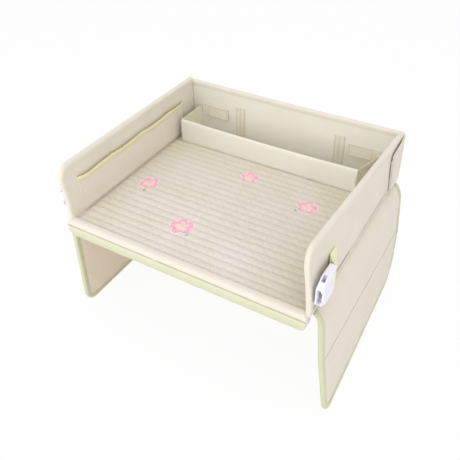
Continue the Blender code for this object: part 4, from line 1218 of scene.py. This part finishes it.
def make_flap(side):
    wall = wall_place(side)
    hinge_along, hinge_out = FLAP_HINGE

    def place(reach, up, out):
        return wall(hinge_along - reach, up, hinge_out + out)

    up = np.concatenate([spread(FLAP_FOOT, 66, 3), spread(67, FLAP_HEAD, 1)])
    share = np.linspace(0, 1, 26)
    share, up = np.meshgrid(share, up)
    reach = share * flap_reach(up)
    curl = 0.9 * share ** 6 + 0.35 * uneven(reach, up, 30, 96) * share
    flap = Pattern()
    flap.shell(place(reach, up, curl + 0.6), place(reach, up, curl - 0.6))
    body = side + "_flap"
    pieces = [piece(side + "_flap_cloth", flap, CREAM, body, [side + "_corner_flap"], "cream_fabric")]
    patch = Pattern()
    share, up = np.meshgrid(np.linspace(0, 1, 16), spread(12, 66, 3))
    reach = 16 + share * (flap_reach(up) + 1.3 - 16)
    lift = 0.9 * (reach / flap_reach(up)) ** 6
    patch.shell(place(reach, up, lift - 0.7), place(reach, up, 0.6 * lift - 1.7))
    pieces.append(piece(side + "_flap_hook_fabric", patch, HOOK, body, [side + "_flap_hook_patch"],
                        "hook_tape"))
    sewing = Pattern()
    rise = spread(FLAP_FOOT + 3, 77, 2.5)
    line = np.stack([flap_reach(rise) - 3.2, rise], 1)

    def curled(reach, up, out):
        return place(reach, up, out + 0.9 * (reach / flap_reach(up)) ** 6)

    stitch_row(sewing, line, curled, 0, steady(0.85))
    pieces.append(piece(side + "_flap_stitching", sewing, THREAD, body, (), "cream_tape"))
    for made in pieces:
        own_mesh(made)
    edge = Pattern()
    rise = spread(4, 86, 4)
    section = [(200.2, -3.3), (201.6, -3.35), (202.9, -2.9), (203.35, -1.0), (203.35, 1.4), (202.8, 3.4),
               (201.2, 4.1), (198.6, 4.05), (198.6, 3.1), (201.6, 3.0), (202.4, 0), (201.9, -2.7),
               (200.2, -2.8)]
    across = SIDES[side] * np.array([x for x, _ in section])
    out = np.array([o for _, o in section])
    rings = [back_place(across, np.full_like(across, height), out) for height in rise]
    edge.tube(rings)
    piece(side + "_corner_edging", edge, CREAM, "back_wall", (), "cream_fabric", 60)


def make_tab(side):
    sign = SIDES[side]
    start = TAB_HINGES[side]
    low, high = sorted((start, start - sign * TAB_LENGTH))
    free = low if sign > 0 else high
    corners = [(free, TAB_FOOT, 3, (-sign, -1)), (free, TAB_HEAD, 3, (-sign, 1))]

    def place(across, up, out):
        droop = np.clip((TAB_HEAD - 2 - up) / 20, 0, 1)
        loose = np.clip((np.abs(across - start) - 5) / 16, 0, 1)
        lift = -0.6 * np.clip(1 - np.abs(across - free) / 14, 0, 1) ** 2 - 2.2 * droop ** 1.5 * loose
        return back_place(across, up, out + lift)

    tab, sewing = Pattern(), Pattern()
    cover(tab, place, (low, TAB_FOOT), (high, TAB_HEAD), steady(-3.05), steady(-4.15), 0.15, 97, corners,
          2.5, 0.15)
    piece(side + "_tab_cloth", tab, TAPE, side + "_tab", [side + "_trough_tab"], "cream_tape")
    inset, hinge_inset = 2.2, 14.5
    first, last = (free + sign * inset, start - sign * hinge_inset)
    foot, head = TAB_FOOT + inset, TAB_HEAD - inset
    loop = [(first, foot), (last, foot), (last, head), (first, head), (first, foot)]
    hem = Pattern()
    for one, two in zip(loop, loop[1:]):
        stitch_row(sewing, [one, two], place, 0, steady(-4.85))
        band(hem, [one, two], place, -0.9, 0.9, -3.9, -4.65)
    piece(side + "_tab_hem", hem, HEM, side + "_tab", (), "cream_tape", 60)
    piece(side + "_tab_stitching", sewing, HEM_THREAD, side + "_tab", (), "cream_tape")


def make_strip(side):
    low, high = STRIPS[side]
    strip, sewing = Pattern(), Pattern()
    cover(strip, back_place, (low, 3), (high, 58), steady(-2.95), steady(-3.7), 0.1, 98, (), 2, 0.1)
    piece(side + "_strip_cloth", strip, TAPE, "back_wall", [side + "_loop_strip"], "cream_tape")
    hem = Pattern()
    for x in (low + 1.6, (low + high) / 2, high - 1.6):
        stitch_row(sewing, [(x, 5), (x, 57)], back_place, 0, steady(-4.35))
        band(hem, [(x, 3.5), (x, 57.5)], back_place, -0.8, 0.8, -3.5, -4.15)
    piece(side + "_strip_hem", hem, HEM, "back_wall", (), "cream_tape", 60)
    piece(side + "_strip_stitching", sewing, HEM_THREAD, "back_wall", (), "cream_tape")


def buckle_place(side):
    """The buckle's sizes to the tray frame: its bar lies on the joint's upright line."""
    def place(along, up, out):
        x = WALL_MIDDLE + out + BUCKLE_TILT[side] * (up - BAR[1])
        return np.stack([SIDES[side] * x, along + 0.0 * x, up + 0.0 * x], -1)

    return place


def make_webbing(side):
    """Webbing sewn to the wall and looped round the buckle's bar."""
    bar_along, bar_up, bar_out = BAR
    loop = 4.4

    def place(along, up, out):
        share = np.clip((along - 51) / 11, 0, 1)[..., None]
        share = share ** 2 * (3 - 2 * share)
        return wall_place(side)(along, up, out) * share + buckle_place(side)(along, up, out) * (1 - share)

    turn = np.radians(np.linspace(-90, 90, 12))
    round_bar = np.stack([bar_along - loop * np.cos(turn), bar_out + loop * np.sin(turn)], 1)
    path = np.concatenate([[(WEBBING_END, 3.8), (64, 3.8), (57, 4.0), (51, 4.8)], round_bar,
                           [(49.6, 12.8), (51.6, 10.2), (53.4, 7.4), (56, 5.8), (61, 5.3),
                            (WEBBING_END, 5.3)]])
    spots, stops = evenly(path, 1.2)
    for _ in range(2):
        spots[1:-1] = (spots[:-2] + 2 * spots[1:-1] + spots[2:]) / 4
    normals = turned(spots)
    across = spread(-WEBBING_HALF, WEBBING_HALF, 2.4)
    rows, columns = np.meshgrid(np.arange(len(spots)), across, indexing="ij")
    cup = 0.25 * uneven(stops[rows], columns, 20, 99)
    sheets = []
    for off in (0.6, -0.6):
        rim = off * np.clip((WEBBING_HALF - np.abs(columns)) / 1.2, 0.35, 1)
        along = spots[rows][..., 0] + normals[rows][..., 0] * (rim + cup)
        out = spots[rows][..., 1] + normals[rows][..., 1] * (rim + cup)
        sheets.append(place(along, bar_up + columns, out))
    web, sewing = Pattern(), Pattern()
    web.shell(*sheets)
    piece(side + "_webbing_loop", web, WEBBING, side + "_wall", [side + "_buckle_webbing"], "green_tape",
          50, True)
    foot, head = bar_up - 16, bar_up + 16
    box = [(65.5, foot), (74.5, foot), (74.5, head), (65.5, head)]
    for one, two in zip(box + [box[0], box[1]], box[1:] + [box[0], box[2], box[3]]):
        stitch_row(sewing, [one, two], place, 0, steady(6.1))
    piece(side + "_webbing_stitching", sewing, THREAD, side + "_wall", (), "cream_tape")


def block(outline, low, high):
    """A straight block over a flat outline, for carving."""
    shape = bmesh.new()
    face = shape.faces.new([shape.verts.new((a, b, low)) for a, b in outline])
    pushed = bmesh.ops.extrude_face_region(shape, geom=[face])
    for item in pushed["geom"]:
        if isinstance(item, bmesh.types.BMVert):
            item.co.z = high
    bmesh.ops.recalc_face_normals(shape, faces=shape.faces)
    mesh = bpy.data.meshes.new("block")
    shape.to_mesh(mesh)
    shape.free()
    made = bpy.data.objects.new("block", mesh)
    bpy.context.scene.collection.objects.link(made)
    return made


def carved(outline, half, rounding, holes):
    """Points and faces of a rounded block with its openings cut."""
    body = block(outline, -half, half)
    bevel = body.modifiers.new("rounding", "BEVEL")
    bevel.width = rounding
    bevel.segments = 4
    bevel.limit_method = "ANGLE"
    bevel.angle_limit = math.radians(50)
    blocks = [block(*hole) for hole in holes]
    for cutter in blocks:
        hole = body.modifiers.new("hole", "BOOLEAN")
        hole.operation = "DIFFERENCE"
        hole.solver = "EXACT"
        hole.object = cutter
    edges = body.modifiers.new("soft edges", "BEVEL")
    edges.width = 0.35
    edges.segments = 2
    edges.limit_method = "ANGLE"
    edges.angle_limit = math.radians(60)
    bpy.context.view_layer.update()
    held = body.evaluated_get(bpy.context.evaluated_depsgraph_get())
    mesh = held.to_mesh()
    points = np.array([vertex.co[:] for vertex in mesh.vertices])
    faces = [tuple(face.vertices) for face in mesh.polygons]
    held.to_mesh_clear()
    for spare in blocks + [body]:
        bpy.data.objects.remove(spare)
    return points, faces


def rect(low, high):
    return [(low[0], low[1]), (high[0], low[1]), (high[0], high[1]), (low[0], high[1])]


def make_buckle(side):
    """Socket half of a snap buckle: open front, prong windows, ringed keyhole, slot and bar."""
    place = buckle_place(side)
    front, half, slot = BUCKLE_FRONT, BUCKLE_HALF, BUCKLE_SLOT
    edge = [(front, 12.8), (front + 3.8, 15.4), (front + 9, 18.2), (front + 15.5, 21.9), (front + 17.5, 22.3),
            (front + 28, 22.3), (front + 30, 22.1), (front + 39.5, 21.8), (1.8, 21.7)]
    outline = edge + [(a, -b) for a, b in reversed(edge)]
    socket = [(front - 4, -12.5), (front + 10, -12.5), (front + 10, -30), (-21.8, -30), (-21.8, -12),
              (-17.8, -12), (-17.8, 12), (-21.8, 12), (-21.8, 30), (front + 10, 30), (front + 10, 12.5),
              (front - 4, 12.5)]
    ring = [(KEYHOLE + 3.0 * math.cos(t), 3.0 * math.sin(t))
            for t in np.linspace(0, math.tau, 20, endpoint=False)]
    holes = [(socket, -2.6, 2.6), (rect((-5.8, -slot), (-1.6, slot)), -9, 9),
             (rect((-1.7, -slot), (9, slot)), 1.6, 9), (rect((-1.7, -slot), (9, slot)), -9, -1.6),
             (ring, -1, 9), (rect((front - 4, -9), (front + 5, 9)), 0, 9)]
    points, faces = carved(outline, half, 1.6, holes)
    shell = Pattern()
    shell.add(place(BAR[0] + points[:, 0], BAR[1] + points[:, 1], BAR[2] + points[:, 2]))
    shell.faces += faces
    turns = np.linspace(0, math.tau, 25)[:-1]
    tube = np.linspace(0, math.tau, 9)[:-1]
    round_about, small = np.meshgrid(turns, tube, indexing="ij")
    radius = 4.2 + 0.8 * np.cos(small)
    spots = place(BAR[0] + KEYHOLE + radius * np.cos(round_about), BAR[1] + radius * np.sin(round_about),
                  BAR[2] + half - 0.05 + 0.8 * np.sin(small))
    rings = np.concatenate([spots, spots[:1]])
    shell.grid(rings, wrap=True)
    for index in range(4):
        middle = -21 - 3.2 * index
        rows = []
        for b in np.linspace(-8, 8, 9):
            fade = math.sqrt(max(0, 1 - (b / 8.4) ** 2))
            top = half + 0.45 * fade
            rows.append([(middle - 0.8, b, half - 0.2), (middle - 0.5, b, top),
                         (middle + 0.5, b, top), (middle + 0.8, b, half - 0.2)])
        rows = np.array(rows)
        shell.tube(place(BAR[0] + rows[..., 0], BAR[1] + rows[..., 1], BAR[2] + rows[..., 2]))
    piece(side + "_buckle_shell", shell, PLASTIC, side + "_buckle", [side + "_buckle_half"],
          "white_plastic", 32)


def make_fold_cloth(side):
    """Cloth hinge under the covers, seen in the groove between a leg's two halves; its dark olive outer face
    is partly painted shade of the groove.
    """
    place = leg_place(side)
    fold, _ = leg_sizes(side)
    along, reach = np.meshgrid(spread(LEG_FRONT + 2.4, LEG_REAR - 2.4, 8), fold + spread(-6, 6, 1.0))
    spots = [place(np.array(180.0), np.array(fold + step), np.array(0.0)) for step in (-1.5, 1.5)]
    start, end = [tuple(TRAY + Vector(spot) * MM) for spot in spots]
    bodies = (side + "_leg_upper", side + "_leg_lower", start, end)
    cloth = Pattern()
    cloth.shell(place(along, reach, 1.75 + 0 * along), place(along, reach, 1.55 + 0 * along))
    made = piece(side + "_fold_cloth", cloth, SEAM, bodies, (), "green_tape", turned_cloth=True)
    low, high = (LEG_FRONT + 2.4, -6), (LEG_REAR - 2.4, 6)
    cut_sheet(low, high)
    cloth = Pattern()
    rim = 0.35 * np.clip(1 - ((reach - fold) / 6) ** 2, 0, 1)
    cloth.shell(place(along, reach, -2.85 - rim), place(along, reach, -2.75 + 0 * along))
    made = piece(side + "_fold_lining", cloth, LINING, bodies, (), "beige_lining")
    cut_sheet(low, high)


# Camera, light and floor

# The photo's camera: focal length and width in pixels, then its turn, rise and roll, and its place
FOCAL, PHOTO_WIDTH, SENSOR = 566.9, 460, 36
CAMERA_TURNS = (30.5, 39.8, -0.5)
CAMERA_PLACE = (356.5, -460.3, 542.5)
LAMPS = {
    "overhead": ((0.2, -0.2, 1.8), 1.6, 7),
    "right_fill": ((2.0, -1.3, 0.75), 1.6, 9.5),
    "front_fill": ((-0.6, -1.65, 0.6), 1.4, 10),
}
SKY_LIGHT = 0.78
FLOOR_GLOW = 0.93
FLOOR_SIZE = 4.0

def make_camera():
    lens = bpy.data.cameras.new("camera")
    lens.lens = FOCAL * SENSOR / PHOTO_WIDTH
    lens.clip_end = 100
    camera = bpy.data.objects.new("camera", lens)
    bpy.context.scene.collection.objects.link(camera)
    bpy.context.scene.camera = camera
    turn, rise, roll = (math.radians(angle) for angle in CAMERA_TURNS)
    back = Vector((math.sin(turn) * math.cos(rise), -math.cos(turn) * math.cos(rise), math.sin(rise)))
    right = Vector((math.cos(turn), math.sin(turn), 0))
    up = back.cross(right)
    across = math.cos(roll) * right + math.sin(roll) * up
    upward = math.cos(roll) * up - math.sin(roll) * right
    camera.matrix_world = Matrix.Translation(TRAY + Vector(CAMERA_PLACE) * MM) @ Matrix(
        (across, upward, back)).transposed().to_4x4()


def make_lamp(name, place, size, power):
    lamp = bpy.data.lights.new(name, "AREA")
    lamp.shape = "DISK"
    lamp.size = size
    lamp.energy = power
    holder = bpy.data.objects.new(name, lamp)
    holder.location = place
    holder.rotation_mode = "QUATERNION"
    holder.rotation_quaternion = (Vector((0, 0, 0.15)) - Vector(place)).to_track_quat("-Z", "Y")
    bpy.context.scene.collection.objects.link(holder)


def seen_directly(finish):
    """One where a ray from the camera, or one mirrored or let through, meets the surface."""
    path = finish.node("ShaderNodeLightPath")
    rays = [Value(finish, path.outputs["Is " + name + " Ray"])
            for name in ("Camera", "Glossy", "Transmission")]
    return finish.clip(rays[0] + rays[1] + rays[2])


def make_floor():
    finish = Finish("pale floor", 0.9)
    finish.colour(tint(243, 243, 243))
    glow = finish.node("ShaderNodeEmission", Strength=1.0)
    glow.inputs["Color"].default_value = (1, 1, 1, 1)
    mixed = finish.node("ShaderNodeMixShader")
    finish.feed(mixed.inputs[0], seen_directly(finish) * FLOOR_GLOW)
    finish.feed(mixed.inputs[1], finish.shader.outputs[0])
    finish.feed(mixed.inputs[2], glow.outputs[0])
    finish.feed(finish.tree.nodes["Material Output"].inputs["Surface"], mixed.outputs[0])
    mesh = bpy.data.meshes.new("floor")
    corners = [(a * FLOOR_SIZE, b * FLOOR_SIZE, 0) for a, b in ((-1, -1), (1, -1), (1, 1), (-1, 1))]
    mesh.from_pydata(corners, [], [(0, 1, 2, 3)])
    mesh.materials.append(finish.material)
    floor = bpy.data.objects.new("floor", mesh)
    bpy.context.scene.collection.objects.link(floor)


def make_world():
    world = bpy.data.worlds.new("studio")
    bpy.context.scene.world = world
    world.use_nodes = True
    nodes, links = world.node_tree.nodes, world.node_tree.links
    soft = nodes["Background"]
    soft.inputs["Color"].default_value = (1, 1, 1, 1)
    soft.inputs["Strength"].default_value = SKY_LIGHT
    white = nodes.new("ShaderNodeBackground")
    white.inputs["Color"].default_value = (1, 1, 1, 1)
    white.inputs["Strength"].default_value = 1.0
    path = nodes.new("ShaderNodeLightPath")
    mixed = nodes.new("ShaderNodeMixShader")
    links.new(path.outputs["Is Camera Ray"], mixed.inputs[0])
    links.new(soft.outputs[0], mixed.inputs[1])
    links.new(white.outputs[0], mixed.inputs[2])
    links.new(mixed.outputs[0], nodes["World Output"].inputs["Surface"])


make_camera()
make_world()
for lamp_name, settings in LAMPS.items():
    make_lamp(lamp_name, *settings)
make_floor()
bpy.context.scene.view_settings.view_transform = "Standard"

make_base()
make_foot_hinges()
make_quilt()
make_lip()
make_lip_band()
make_back_wall()
make_trough()
for side_name in SIDES:
    make_wall(side_name)
    make_leg(side_name)
    make_pocket(side_name)
    make_flap(side_name)
    make_tab(side_name)
    make_strip(side_name)
    make_webbing(side_name)
    make_buckle(side_name)
    make_fold_cloth(side_name)
for node_name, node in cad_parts.items():
    if "board" in node_name and not node.hide_render:
        node.data.materials.clear()
        node.data.materials.append(BOARD)
